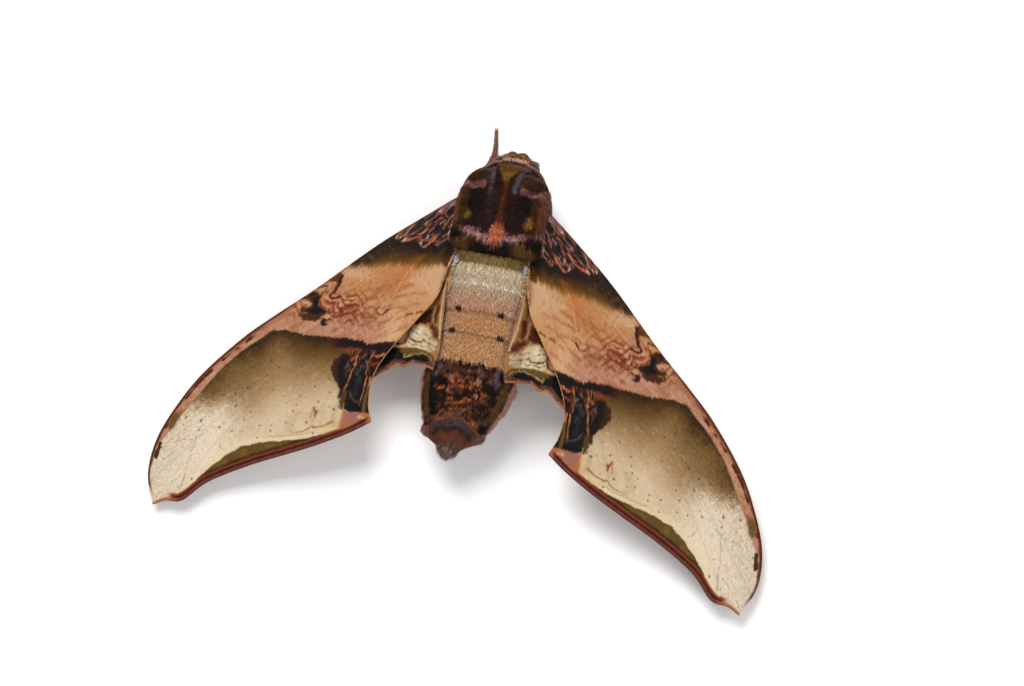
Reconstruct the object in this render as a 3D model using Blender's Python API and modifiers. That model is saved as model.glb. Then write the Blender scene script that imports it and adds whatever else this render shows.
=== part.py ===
"""A resting hawkmoth at life size, modelled as a still museum piece.

The animal stands on the floor at z = 0, its head towards -Y, its tail towards +Y and its own left
towards +X. Sizes are in millimetres and become metres where a mesh is made. Wings are drawn in their
own plane, u outwards from the middle of the body and v towards the tail, and then laid in space.
"""
import math

import bmesh
import bpy
from mathutils import Vector
from mathutils.geometry import delaunay_2d_cdt, intersect_point_line

MM = 0.001
GAP = 0.35
ORIGIN_X = -0.1
ORIGIN_Y = 13.1

SIDES = {"left": 1.0, "right": -1.0}

# Body sections from front to back: place y, sideways shift, half width, lowest and highest point
THORAX_SECTIONS = (
    (-10.6, -0.2, 4.2, 6.4, 13.3),
    (-9.5, -0.1, 5.4, 5.1, 14.5),
    (-7.5, 0.0, 6.3, 3.9, 15.4),
    (-5.0, 0.0, 6.6, 3.3, 15.9),
    (-2.0, 0.0, 6.5, 3.1, 15.8),
    (0.2, 0.0, 6.1, 3.3, 15.2),
    (1.7, 0.0, 5.5, 3.8, 14.2),
)
ABDOMEN_SECTIONS = (
    (2.05, -0.1, 5.3, 3.9, 13.9),
    (6.0, -0.1, 5.7, 3.5, 14.2),
    (12.0, 0.0, 6.0, 3.2, 13.7),
    (17.0, 0.1, 6.3, 3.0, 12.9),
    (19.5, 0.2, 6.3, 3.0, 12.3),
    (22.0, 0.45, 5.9, 3.0, 11.5),
    (24.4, 0.75, 5.2, 3.1, 10.5),
    (26.7, 1.15, 4.3, 3.3, 9.4),
    (28.4, 1.5, 3.4, 3.8, 8.6),
    (29.8, 1.65, 2.0, 4.6, 7.9),
    (30.9, 1.65, 0.7, 5.6, 7.2),
)
SECTION_POWER = 2.3
BODY_SEGMENTS = 28

# Where the rings of the abdomen end, and how far each rear edge stands over the next ring
ABDOMEN_RINGS = (2.05, 6.2, 9.8, 13.3, 17.4, 20.8, 23.6, 26.0, 28.2, 30.9)
RING_STEP = 0.28

# The side fringes of the abdomen, and their flare near the tail
FRINGE_START = 18.2
FRINGE_FULL = 20.5
FRINGE_WIDTH = 0.55
FLARE_Y = 27.9
FLARE_WIDTH = 0.9
FRINGE_HALF_ANGLE = 0.34

# The head, seen from above a little to the animal's right of the middle
HEAD_CENTRE = Vector((-0.4, -11.3, 8.9))
HEAD_RADII = Vector((2.75, 1.95, 2.85))
NECK_Y = -10.95
EYE_CENTRE = Vector((2.15, -0.75, -0.1))
EYE_RADII = Vector((1.45, 1.45, 1.7))

# The wing plane: the hinge point, how far the wing droops and the height it gains near the body
HINGE_X = 5.5
HINGE_Z = 10.5
DROOP = {"left": math.radians(14.0), "right": math.radians(12.6)}
ROOT_LIFT = 1.2
ROOT_LIFT_REACH = 4.0
TIP_LIFT = 0.7
TIP_LIFT_START = 34.0
TIP_LIFT_REACH = 12.0
WING_SPACING = 1.35
DRAPE_GAP = 0.72
DRAPE_START = 1.5
DRAPE_FULL = 5.0
DRAPE_SOFTNESS = 1.0

# Thickness of the membrane and of the whole wing at the crest of a vein
MEMBRANE = 0.52
VEIN_THICKNESS = 0.95
VEIN_HALF_WIDTH = 0.5
VEIN_STEP = 2.3

# Outlines in the wing plane, as smooth stretches between corners
FOREWING_COSTA = (
    (6.9, -5.9), (12.0, -2.3), (18.0, 2.5), (26.0, 9.9), (31.5, 14.6), (36.0, 18.7), (41.0, 24.6),
    (44.0, 29.6), (46.4, 35.5), (46.7, 41.0), (44.8, 45.3),
)
FOREWING_OUTER = (
    (44.8, 45.3), (43.0, 44.4), (40.4, 44.0), (37.0, 40.7), (31.0, 37.3), (22.0, 33.2), (16.5, 30.3),
    (13.4, 28.2),
)
FOREWING_INNER = ((13.4, 28.2), (14.4, 25.4), (14.5, 21.6), (12.7, 17.4), (9.1, 12.1), (7.0, 8.9), (5.8, 4.4))
HINDWING_MARGIN = (
    (4.9, 18.0), (5.3, 19.5), (7.0, 19.0), (8.8, 18.65), (10.0, 19.4), (11.3, 19.25), (13.0, 20.4),
    (16.0, 22.4), (20.0, 22.2), (24.0, 18.0),
)
HINDWING_COSTA = ((24.0, 18.0), (20.0, 12.0), (14.0, 5.0), (8.6, -0.8))
HINDWING_INNER = ((6.6, 2.2), (6.1, 4.8), (5.5, 8.0), (5.0, 13.0), (4.7, 16.4), (4.9, 18.0))

# Veins in the wing plane, from the root out to the margin
FOREWING_VEINS = {
    "subcosta": ((7.6, -4.2), (13.0, 0.2), (20.0, 5.9), (29.0, 13.9), (35.0, 18.6)),
    "radius": ((7.6, -2.9), (13.5, 3.3), (19.8, 9.3)),
    "radius_1": ((18.5, 7.3), (27.0, 14.6), (35.0, 21.2), (39.9, 24.2)),
    "radius_2": ((20.6, 9.9), (30.0, 18.8), (38.0, 26.4), (43.3, 29.9)),
    "radius_4": ((20.4, 10.8), (30.5, 21.4), (39.0, 30.8), (45.3, 36.6)),
    "radius_5": ((31.2, 23.0), (38.5, 32.6), (45.6, 41.6)),
    "media_1": ((19.9, 11.5), (29.0, 23.4), (36.6, 34.4), (41.9, 43.2)),
    "media_2": ((18.0, 12.6), (26.0, 24.6), (32.2, 34.6), (35.6, 39.0)),
    "media_3": ((16.2, 13.9), (22.6, 25.4), (29.6, 35.9)),
    "cubitus": ((7.5, -1.7), (11.0, 3.5), (13.2, 8.2), (15.2, 13.4)),
    "cubitus_1": ((15.5, 14.4), (20.2, 24.6), (24.2, 33.4)),
    "cubitus_2": ((14.9, 12.2), (16.9, 17.0), (18.3, 22.5), (19.1, 27.6), (19.7, 31.2)),
    "anal": ((7.3, -0.4), (9.9, 8.6), (13.5, 16.0), (15.6, 21.5), (15.4, 26.0), (14.7, 28.4)),
    "cell_end": ((19.4, 10.2), (17.8, 11.9), (15.8, 12.9)),
}
HINDWING_VEINS = {
    "costal": ((8.8, 0.6), (14.0, 6.4), (19.4, 12.6), (22.9, 17.7)),
    "radial": ((8.6, 1.6), (13.0, 8.0), (17.6, 14.6), (20.6, 20.8)),
    "medial": ((11.8, 7.6), (14.6, 14.0), (16.6, 21.4)),
    "cubital_1": ((8.3, 2.6), (10.6, 8.0), (12.8, 14.4), (14.2, 20.4)),
    "cubital_2": ((10.2, 9.0), (11.2, 13.8), (11.9, 18.6)),
    "anal_1": ((7.7, 3.6), (8.4, 8.0), (9.0, 13.0), (9.5, 18.2)),
    "anal_2": ((7.0, 4.6), (6.8, 9.0), (6.7, 14.0), (6.8, 18.2)),
}

# Feelers, palps and legs: points along the middle of each, with its radius there
ANTENNA_PATH = (
    (1.3, -12.3, 11.6), (2.9, -12.1, 11.4), (4.7, -11.4, 9.6), (5.6, -9.7, 7.5), (6.5, -7.0, 6.7),
    (7.4, -4.0, 7.2), (8.1, -1.0, 7.2), (8.0, 1.0, 7.0),
)
ANTENNA_RADII = (0.34, 0.36, 0.42, 0.44, 0.42, 0.38, 0.3, 0.24)
PALP_PATH = ((0.95, -12.9, 5.75), (1.0, -13.75, 6.7), (0.9, -14.0, 8.2), (0.75, -13.9, 9.7), (0.65, -13.6, 10.6))
PALP_RADII = (0.34, 0.48, 0.5, 0.42, 0.26)
LEG_PATHS = {
    "foreleg_left": ((5.1, -10.6, 4.6), (4.6, -12.4, 2.9), (4.3, -14.4, 0.85), (4.3, -16.2, 0.38), (4.7, -19.0, 0.36)),
    "foreleg_right": ((-4.9, -9.7, 3.8), (-4.9, -9.0, 2.2), (-4.8, -8.0, 0.8), (-4.7, -7.0, 0.38), (-4.6, -4.6, 0.36)),
    "midleg_left": ((8.0, -4.6, 6.0), (9.6, -3.4, 4.2), (10.3, -1.6, 0.8), (10.5, -0.4, 0.3), (10.7, 2.4, 0.28)),
    "midleg_right": ((-8.0, -4.6, 6.0), (-9.6, -3.4, 4.2), (-10.3, -1.6, 0.8), (-10.5, -0.4, 0.3), (-10.7, 2.4, 0.28)),
    "hindleg_left": ((7.8, 3.0, 5.2), (8.6, 7.0, 3.6), (8.9, 11.4, 0.8), (8.9, 12.8, 0.3), (8.6, 16.6, 0.28)),
    "hindleg_right": ((-7.8, 3.0, 5.2), (-8.6, 7.0, 3.6), (-8.9, 11.4, 0.8), (-8.9, 12.8, 0.3), (-8.6, 16.6, 0.28)),
}
LEG_HIPS = {"foreleg": (-8.3, 52.0), "midleg": (-5.2, 48.0), "hindleg": (-1.2, 50.0)}
LEG_RADII = (0.85, 0.8, 0.58, 0.48, 0.44, 0.4, 0.34)
LEG_POINTS = 17

PALETTE = {
    "thorax scales": (0.035, 0.022, 0.016),
    "abdomen scales": (0.30, 0.19, 0.10),
    "wing scales": (0.42, 0.26, 0.14),
    "hindwing scales": (0.36, 0.22, 0.12),
    "shoulder scales": (0.30, 0.13, 0.05),
    "leg scales": (0.20, 0.08, 0.045),
    "eye": (0.012, 0.008, 0.006),
}


def clear_scene():
    """Empty the scene, so that only this model is in it."""
    for old in list(bpy.data.objects):
        bpy.data.objects.remove(old, do_unlink=True)


def make_materials():
    """One plain finish for each kind of surface."""
    finishes = {}
    for name, colour in PALETTE.items():
        finish = bpy.data.materials.new(name)
        finish.use_nodes = True
        shader = finish.node_tree.nodes["Principled BSDF"]
        shader.inputs["Base Color"].default_value = (*colour, 1.0)
        shader.inputs["Roughness"].default_value = 0.25 if name == "eye" else 0.8
        shader.inputs["Metallic"].default_value = 0.0
        finishes[name] = finish
    return finishes


def add_piece(name, points, faces, finish):
    """Make an object from points in millimetres and put it in the model's collection."""
    mesh = bpy.data.meshes.new(name)
    mesh.from_pydata([Vector(point) * MM for point in points], [], faces)
    return add_object(name, mesh, finish)


def add_object(name, mesh, finish):
    """Put a mesh in the model's collection, smooth and under the model's empty."""
    mesh.materials.clear()
    mesh.materials.append(MATERIALS[finish])
    mesh.shade_smooth()
    piece = bpy.data.objects.new(name, mesh)
    MOTH.objects.link(piece)
    piece.parent = BASE
    return piece


def smoothstep(low, high, value):
    """Zero below low, one above high and an even rise between them."""
    part = min(max((value - low) / (high - low), 0.0), 1.0)
    return part * part * (3.0 - 2.0 * part)


def smooth_max(first, second, softness):
    """The larger of two heights, with a rounded change from one to the other."""
    near = max(softness - abs(first - second), 0.0) / softness
    return max(first, second) + near ** 3 * softness / 6.0


def curve_through(points, step):
    """Points about one step apart on a smooth curve through the given ones."""
    knots = [Vector(point) for point in points]
    ends = [2 * knots[0] - knots[1]] + knots + [2 * knots[-1] - knots[-2]]
    found = [knots[0]]
    for index in range(1, len(ends) - 2):
        before, start, stop, after = ends[index - 1:index + 3]
        count = max(1, round((stop - start).length / step))
        for part in range(1, count + 1):
            t = part / count
            found.append(0.5 * (
                2 * start + (stop - before) * t
                + (2 * before - 5 * start + 4 * stop - after) * t ** 2
                + (3 * start - before - 3 * stop + after) * t ** 3
            ))
    return found


def body_section(sections, y):
    """Shift, half width, lowest and highest point of the body at one place along it."""
    y = min(max(y, sections[0][0]), sections[-1][0])
    slot = 0
    while slot < len(sections) - 2 and y > sections[slot + 1][0]:
        slot += 1
    start, stop = sections[slot], sections[slot + 1]
    before = sections[max(slot - 1, 0)]
    after = sections[min(slot + 2, len(sections) - 1)]
    span = stop[0] - start[0]
    t = (y - start[0]) / span
    values = []
    for item in range(1, len(start)):
        slope_in = (stop[item] - before[item]) / (stop[0] - before[0]) * span
        slope_out = (after[item] - start[item]) / (after[0] - start[0]) * span
        values.append(
            (2 * t ** 3 - 3 * t ** 2 + 1) * start[item] + (t ** 3 - 2 * t ** 2 + t) * slope_in
            + (3 * t ** 2 - 2 * t ** 3) * stop[item] + (t ** 3 - t ** 2) * slope_out
        )
    return values


def flank_x(sections, y, z, grow=0.0):
    """Half width of the body at a height, with the body grown by some millimetres."""
    shift, half, low, high = body_section(sections, y)
    middle = (low + high) / 2
    part = abs(z - middle) / ((high - low) / 2 + grow)
    if part >= 1.0:
        return 0.0
    return (half + grow) * (1.0 - part ** SECTION_POWER) ** (1.0 / SECTION_POWER)


def body_top(sections, x, y, grow=0.0):
    """Height of the body's upper surface, or its middle where the body is narrower than x."""
    shift, half, low, high = body_section(sections, y)
    middle = (low + high) / 2
    part = abs(x - shift) / (half + grow)
    if part >= 1.0:
        return middle - abs(x - shift)
    return middle + ((high - low) / 2 + grow) * (1.0 - part ** SECTION_POWER) ** (1.0 / SECTION_POWER)


def surface_point(sections, y, angle, grow=0.0):
    """A point of the body's surface and the direction that leads straight out of it."""
    shift, half, low, high = body_section(sections, y)
    across = (half + grow)
    up = (high - low) / 2 + grow
    cosine, sine = math.cos(angle), math.sin(angle)
    power = 2.0 / SECTION_POWER
    x = shift + across * math.copysign(abs(cosine) ** power, cosine)
    z = (low + high) / 2 + up * math.copysign(abs(sine) ** power, sine)
    outward = Vector((cosine / across, 0.0, sine / up)).normalized()
    return Vector((x, y, z)), outward


def surface_normal(sections, y, angle):
    """The direction that leads straight out of the body, with its slope along the body."""
    small = 0.05
    ahead = surface_point(sections, y + small, angle)[0] - surface_point(sections, y - small, angle)[0]
    around = surface_point(sections, y, angle + small)[0] - surface_point(sections, y, angle - small)[0]
    return ahead.cross(around).normalized()


def loft(name, rings, finish):
    """Close a row of like rings with flat ends."""
    around = len(rings[0])
    points = [point for ring in rings for point in ring]
    faces = []
    for row in range(len(rings) - 1):
        for column in range(around):
            after = (column + 1) % around
            lower, upper = row * around, (row + 1) * around
            faces.append((lower + column, upper + column, upper + after, lower + after))
    faces.append(tuple(range(around)))
    faces.append(tuple(reversed(range((len(rings) - 1) * around, len(rings) * around))))
    piece = add_piece(name, points, faces, finish)
    turn_faces_out(piece.data)
    return piece


def turn_faces_out(mesh):
    """Triangulate a closed mesh and point all its faces outwards."""
    shape = bmesh.new()
    shape.from_mesh(mesh)
    bmesh.ops.remove_doubles(shape, verts=shape.verts, dist=1e-6)
    bmesh.ops.triangulate(shape, faces=shape.faces)
    bmesh.ops.recalc_face_normals(shape, faces=shape.faces)
    shape.to_mesh(mesh)
    shape.free()


def make_thorax():
    """The thorax: a deep barrel with two collar domes, a ridge along its back and a raised hind fringe."""
    rings = []
    rows = 17
    start, stop = THORAX_SECTIONS[0][0], THORAX_SECTIONS[-1][0]
    for row in range(rows):
        y = start + (stop - start) * row / (rows - 1)
        ring = []
        for column in range(BODY_SEGMENTS):
            point, outward = surface_point(THORAX_SECTIONS, y, 2 * math.pi * column / BODY_SEGMENTS)
            swell = 0.0
            if outward.z > 0.0:
                dome = math.exp(-((abs(point.x) - 3.5) / 1.5) ** 2 - ((y + 9.0) / 1.1) ** 2)
                groove = math.exp(-((y + 7.4) / 0.6) ** 2) * smoothstep(0.2, 0.7, outward.z)
                ridge = math.exp(-(point.x / 1.0) ** 2) * smoothstep(-9.8, -7.0, y) * smoothstep(0.5, -2.0, y)
                fringe = math.exp(-((y - 0.4) / 0.9) ** 2) * smoothstep(0.3, 0.8, outward.z)
                swell = 0.55 * dome - 0.35 * groove + 0.35 * ridge + 0.3 * fringe
            ring.append(point + outward * swell)
        rings.append(ring)
    return loft("thorax", rings, "thorax scales")


def abdomen_swell(y, angle, along):
    """How far the abdomen stands out: each ring's rear edge, and the fringes along both sides."""
    side = min(abs(angle), abs(angle - math.pi), abs(angle - 2 * math.pi))
    fringe = FRINGE_WIDTH * smoothstep(FRINGE_START, FRINGE_FULL, y) * smoothstep(29.5, 27.0, y)
    flare = FLARE_WIDTH * math.exp(-((y - FLARE_Y) / 0.9) ** 2)
    edge = (fringe + flare) * math.exp(-(side / FRINGE_HALF_ANGLE) ** 2)
    return edge + RING_STEP * (along ** 0.6 - 0.7)


def make_abdomen():
    """The abdomen: overlapping rings that narrow to the tail, which bends to the animal's left."""
    rings = []
    for start, stop in zip(ABDOMEN_RINGS, ABDOMEN_RINGS[1:]):
        for along in (0.0, 0.35, 0.7, 1.0):
            y = start + (stop - start) * (0.03 + 0.97 * along)
            ring = []
            for column in range(BODY_SEGMENTS):
                angle = 2 * math.pi * column / BODY_SEGMENTS
                point, outward = surface_point(ABDOMEN_SECTIONS, y, angle)
                ring.append(point + outward * abdomen_swell(y, angle, along))
            rings.append(ring)
    return loft("abdomen", rings, "abdomen scales")


def make_eye_mesh(grow):
    """An eye, or with a growth the socket that is cut for it."""
    shape = bmesh.new()
    bmesh.ops.create_uvsphere(shape, u_segments=18, v_segments=12, radius=1.0)
    radii = (EYE_RADII + Vector((grow, grow, grow))) * MM
    bmesh.ops.scale(shape, vec=radii, verts=shape.verts)
    mesh = bpy.data.meshes.new("eye")
    shape.to_mesh(mesh)
    shape.free()
    return mesh


def make_head():
    """The head, flat at the neck, with a socket for each eye."""
    shape = bmesh.new()
    bmesh.ops.create_uvsphere(shape, u_segments=24, v_segments=14, radius=1.0)
    bmesh.ops.scale(shape, vec=HEAD_RADII * MM, verts=shape.verts)
    bmesh.ops.translate(shape, vec=HEAD_CENTRE * MM, verts=shape.verts)
    back = bmesh.ops.bisect_plane(
        shape, geom=shape.verts[:] + shape.edges[:] + shape.faces[:],
        plane_co=(0.0, NECK_Y * MM, 0.0), plane_no=(0.0, 1.0, 0.0), clear_outer=True,
    )
    rim = [edge for edge in back["geom_cut"] if isinstance(edge, bmesh.types.BMEdge)]
    bmesh.ops.contextual_create(shape, geom=rim)
    mesh = bpy.data.meshes.new("head")
    shape.to_mesh(mesh)
    shape.free()
    turn_faces_out(mesh)
    head = add_object("head", mesh, "thorax scales")
    for side, sign in SIDES.items():
        place = HEAD_CENTRE + Vector((sign * EYE_CENTRE.x, EYE_CENTRE.y, EYE_CENTRE.z))
        socket = bpy.data.objects.new("socket_" + side, make_eye_mesh(GAP))
        CUTTERS.objects.link(socket)
        socket.location = place * MM
        socket.parent = BASE
        socket.hide_render = True
        socket.display_type = "WIRE"
        cut = head.modifiers.new("socket " + side, "BOOLEAN")
        cut.operation = "DIFFERENCE"
        cut.object = socket
        eye = add_object("eye_" + side, make_eye_mesh(0.0), "eye")
        eye.location = place * MM
    return head


def make_tube(name, path, radii, finish, points, flat=False):
    """A round limb along a smooth path, cut level with the floor where it is to stand on it."""
    dense = curve_through(path, 0.25)
    lengths = [0.0]
    for before, after in zip(dense, dense[1:]):
        lengths.append(lengths[-1] + (after - before).length)
    curve = bpy.data.curves.new(name, "CURVE")
    curve.dimensions = "3D"
    curve.bevel_depth = MM
    curve.bevel_resolution = 2
    curve.use_fill_caps = True
    spline = curve.splines.new("POLY")
    spline.points.add(points - 1)
    for index in range(points):
        part = index / (points - 1)
        place = min(range(len(dense)), key=lambda item: abs(lengths[item] - part * lengths[-1]))
        spline.points[index].co = (*(dense[place] * MM), 1.0)
        knot = part * (len(radii) - 1)
        low = min(int(knot), len(radii) - 2)
        spline.points[index].radius = radii[low] + (radii[low + 1] - radii[low]) * (knot - low)
    guide = bpy.data.objects.new(name + "_guide", curve)
    CUTTERS.objects.link(guide)
    bpy.context.view_layer.update()
    mesh = bpy.data.meshes.new_from_object(guide.evaluated_get(bpy.context.evaluated_depsgraph_get()))
    bpy.data.objects.remove(guide)
    shape = bmesh.new()
    shape.from_mesh(mesh)
    bmesh.ops.remove_doubles(shape, verts=shape.verts, dist=1e-6)
    if flat:
        sole = bmesh.ops.bisect_plane(
            shape, geom=shape.verts[:] + shape.edges[:] + shape.faces[:],
            plane_co=(0.0, 0.0, 0.0), plane_no=(0.0, 0.0, 1.0), clear_inner=True,
        )
        rim = [edge for edge in sole["geom_cut"] if isinstance(edge, bmesh.types.BMEdge)]
        bmesh.ops.contextual_create(shape, geom=rim)
    shape.to_mesh(mesh)
    shape.free()
    turn_faces_out(mesh)
    return add_object(name, mesh, finish)


def make_mouthparts():
    """Two upturned palps in front of the face and the short coiled tongue under it."""
    for side, sign in SIDES.items():
        path = [(HEAD_CENTRE.x + sign * x, y, z) for x, y, z in PALP_PATH]
        make_tube("palp_" + side, path, PALP_RADII, "shoulder scales", 9)
    coil_y, coil_z = -12.7, 4.75
    coil = [(HEAD_CENTRE.x, -12.15, 5.75)]
    for step in range(13):
        angle = math.radians(50.0 + 26.0 * step)
        radius = 0.95 - 0.045 * step
        coil.append((HEAD_CENTRE.x, coil_y + radius * math.cos(angle), coil_z + radius * math.sin(angle)))
    make_tube("proboscis", coil, (0.26, 0.26, 0.25), "leg scales", 16)


def make_antennae():
    """Feelers that rise beside the eyes, turn back and lie along the flanks under the forewings."""
    for side, sign in SIDES.items():
        path = [(HEAD_CENTRE.x * (1.0 - index / 7.0) + sign * x, y, z)
                for index, (x, y, z) in enumerate(ANTENNA_PATH)]
        make_tube("antenna_" + side, path, ANTENNA_RADII, "shoulder scales", 20)


def make_legs():
    """Six legs, each from its hip on the thorax to a foot that stands on the floor."""
    for name, path in LEG_PATHS.items():
        kind, side = name.split("_")
        hip_y, hip_angle = LEG_HIPS[kind]
        surface = surface_point(THORAX_SECTIONS, hip_y, -math.radians(hip_angle))[0]
        outward = surface_normal(THORAX_SECTIONS, hip_y, -math.radians(hip_angle))
        hip = surface + outward * GAP
        hip.x *= SIDES[side]
        outward.x *= SIDES[side]
        make_tube(name, [hip, hip + outward * 1.1, *path], LEG_RADII, "leg scales", LEG_POINTS, flat=True)


def hindwing_height(u, v, droop):
    """Height of the middle of the hindwing, which lies over the abdomen's flank near the body."""
    flat = wing_plane(u, droop) - WING_SPACING
    drape = smoothstep(DRAPE_START, DRAPE_FULL, v)
    if drape == 0.0:
        return flat
    over = max(body_top(ABDOMEN_SECTIONS, side_x, v, DRAPE_GAP) for side_x in (u, -u))
    return flat + (smooth_max(flat, over, DRAPE_SOFTNESS) - flat) * drape


def wing_plane(u, droop):
    """Height of the flat wing, raised a little near the body and at the tip."""
    root = ROOT_LIFT * math.exp(-((u - HINGE_X) / ROOT_LIFT_REACH) ** 2)
    tip = TIP_LIFT * smoothstep(TIP_LIFT_START, TIP_LIFT_START + TIP_LIFT_REACH, u)
    return HINGE_Z - math.sin(droop) * (u - HINGE_X) + root + tip


def forewing_height(u, v, droop):
    """Height of the middle of the forewing, which passes over the hindwing."""
    return hindwing_height(u, v, droop) + WING_SPACING


def inside(outline, point):
    """Whether a point lies inside a closed outline."""
    crossings = 0
    for start, stop in zip(outline, outline[1:] + outline[:1]):
        if (start.y > point.y) != (stop.y > point.y):
            at = start.x + (point.y - start.y) / (stop.y - start.y) * (stop.x - start.x)
            crossings += point.x < at
    return crossings % 2 == 1


def distance(line, point):
    """Distance from a point to a line of straight pieces."""
    nearest = math.inf
    for start, stop in zip(line, line[1:]):
        foot, along = intersect_point_line(point, start, stop)
        along = min(max(along, 0.0), 1.0)
        nearest = min(nearest, (point - start.lerp(stop, along)).length)
    return nearest


def wing_mesh_points(outline, veins, spacing, root_spacing, root_reach):
    """Points and fixed edges of a wing: its outline, the crest and feet of each vein, and a loose fill."""
    points = list(outline)
    edges = [(index, (index + 1) % len(outline)) for index in range(len(outline))]
    closed = outline + outline[:1]
    for name, vein in veins.items():
        others = [line for other, line in veins.items() if other != name]
        first = len(points)
        points.extend(vein)
        edges.extend((first + index, first + index + 1) for index in range(len(vein) - 1))
        for index in range(len(vein)):
            before, after = vein[max(index - 1, 0)], vein[min(index + 1, len(vein) - 1)]
            across = Vector((before.y - after.y, after.x - before.x)).normalized() * VEIN_HALF_WIDTH
            for foot in (vein[index] + across, vein[index] - across):
                clear = min(distance(line, foot) for line in others)
                if clear > 1.7 * VEIN_HALF_WIDTH and inside(outline, foot) and distance(closed, foot) > VEIN_HALF_WIDTH:
                    points.append(foot)
    low_v = min(point.y for point in outline)
    rows = int((max(point.y for point in outline) - low_v) / root_spacing)
    fill = []
    for row in range(rows):
        v = low_v + root_spacing * (row + 0.5)
        for column in range(int(50.0 / root_spacing)):
            u = 4.0 + root_spacing * (column + 0.5 * (row % 2))
            coarse = row % 2 == 0 and column % 2 == (row // 2) % 2
            if u < root_reach or coarse:
                fill.append(Vector((u, v)))
    for point in fill:
        room = 0.45 * spacing if point.x > root_reach else 0.5 * root_spacing
        if inside(outline, point) and distance(closed, point) > room:
            if min(distance(line, point) for line in veins.values()) > room + VEIN_HALF_WIDTH:
                points.append(point)
    return points, edges


def make_wing(name, side, outline, veins, height, spacing, root_spacing, root_reach, finish):
    """A membrane in its true outline, with its veins as ridges that stand out on both faces."""
    sign, droop = SIDES[side], DROOP[side]
    lines = {key: curve_through(vein, VEIN_STEP) for key, vein in veins.items()}
    points, edges = wing_mesh_points(outline, lines, spacing, root_spacing, root_reach)
    flat, _, triangles, _, _, _ = delaunay_2d_cdt(points, edges, [], 1, 0.02)
    laid = []
    ridge = []
    for point in flat:
        u, v = point
        x = HINGE_X + (u - HINGE_X) * math.cos(droop)
        laid.append((sign * x, v, height(u, v, droop)))
        near = min(distance(line, point) for line in lines.values())
        ridge.append(max(0.0, 1.0 - near / VEIN_HALF_WIDTH))
    wing = add_piece(name, laid, triangles, finish)
    shape = bmesh.new()
    shape.from_mesh(wing.data)
    bmesh.ops.recalc_face_normals(shape, faces=shape.faces)
    shape.to_mesh(wing.data)
    shape.free()
    group = wing.vertex_groups.new(name="vein")
    for index, weight in enumerate(ridge):
        group.add([index], weight, "REPLACE")
    shell = wing.modifiers.new("membrane", "SOLIDIFY")
    shell.thickness = VEIN_THICKNESS * MM
    shell.offset = 0.0
    shell.vertex_group = "vein"
    shell.thickness_vertex_group = MEMBRANE / VEIN_THICKNESS
    return wing


def root_edge(side, height, front, back, steps):
    """The root of a wing, which follows the thorax's flank from back to front."""
    edge = []
    for step in range(steps + 1):
        v = back + (front - back) * step / steps
        u = HINGE_X
        for _ in range(6):
            u = flank_x(THORAX_SECTIONS, v, height(u, v, DROOP[side]), GAP + 0.1)
        edge.append(Vector((HINGE_X + (u - HINGE_X) / math.cos(DROOP[side]), v)))
    return edge


def make_wings():
    """Forewings in their swept rest pose, and hindwings under them and over the abdomen's flanks."""
    for side in SIDES:
        root = root_edge(side, forewing_height, -5.2, 1.4, 4)
        outline = curve_through(FOREWING_COSTA, 2.4)[:-1] + curve_through(FOREWING_OUTER, 2.0)[:-1]
        outline += curve_through(FOREWING_INNER, 1.9) + root
        make_wing("forewing_" + side, side, outline, FOREWING_VEINS, forewing_height, 3.0, 1.5, 11.5, "wing scales")
        root = root_edge(side, hindwing_height, -1.4, 1.2, 2)
        outline = curve_through(HINDWING_INNER, 1.6)[:-1] + curve_through(HINDWING_MARGIN, 1.3)[:-1]
        outline += curve_through(HINDWING_COSTA, 2.4) + root[::-1]
        make_wing("hindwing_" + side, side, outline, HINDWING_VEINS, hindwing_height, 3.0, 1.2, 9.5, "hindwing scales")


def make_tegulae():
    """The shoulder plates: long scaled covers that lie on the thorax above the wing roots."""
    middle_y, half_length = -3.7, 4.6
    middle_angle, half_angle = math.radians(44.0), math.radians(15.0)
    rings, around = 4, 20
    for side, sign in SIDES.items():
        points, weights, faces = [], [], []
        for ring in range(rings + 1):
            reach = ring / rings
            count = around if ring else 1
            for column in range(count):
                turn = 2 * math.pi * column / around
                y = middle_y + half_length * reach * math.cos(turn)
                angle = middle_angle + half_angle * reach * math.sin(turn)
                point, outward = surface_point(THORAX_SECTIONS, y, angle, GAP + 0.4)
                points.append((sign * point.x, point.y, point.z))
                weights.append(1.0 - reach ** 2)
        for column in range(around):
            after = (column + 1) % around
            faces.append((0, 1 + column, 1 + after))
            for ring in range(rings - 1):
                inner, outer = 1 + ring * around, 1 + (ring + 1) * around
                faces.append((inner + column, outer + column, outer + after))
                faces.append((inner + column, outer + after, inner + after))
        plate = add_piece("tegula_" + side, points, faces, "shoulder scales")
        group = plate.vertex_groups.new(name="middle")
        for index, weight in enumerate(weights):
            group.add([index], weight, "REPLACE")
        shell = plate.modifiers.new("plate", "SOLIDIFY")
        shell.thickness = 0.8 * MM
        shell.offset = 0.0
        shell.vertex_group = "middle"
        shell.thickness_vertex_group = 0.45


clear_scene()
MATERIALS = make_materials()
MOTH = bpy.data.collections.new("hawkmoth")
CUTTERS = bpy.data.collections.new("cutters")
bpy.context.scene.collection.children.link(MOTH)
bpy.context.scene.collection.children.link(CUTTERS)
BASE = bpy.data.objects.new("base", None)
BASE.location = (-ORIGIN_X * MM, -ORIGIN_Y * MM, 0.0)
MOTH.objects.link(BASE)

make_thorax()
make_abdomen()
make_head()
make_mouthparts()
make_antennae()
make_legs()
make_wings()
make_tegulae()
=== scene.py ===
"""A hawkmoth at rest with its wings swept back, life size, as a still museum model on a pale floor."""
import math

import bpy
import numpy as np
from mathutils import Euler, Matrix, Vector


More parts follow.
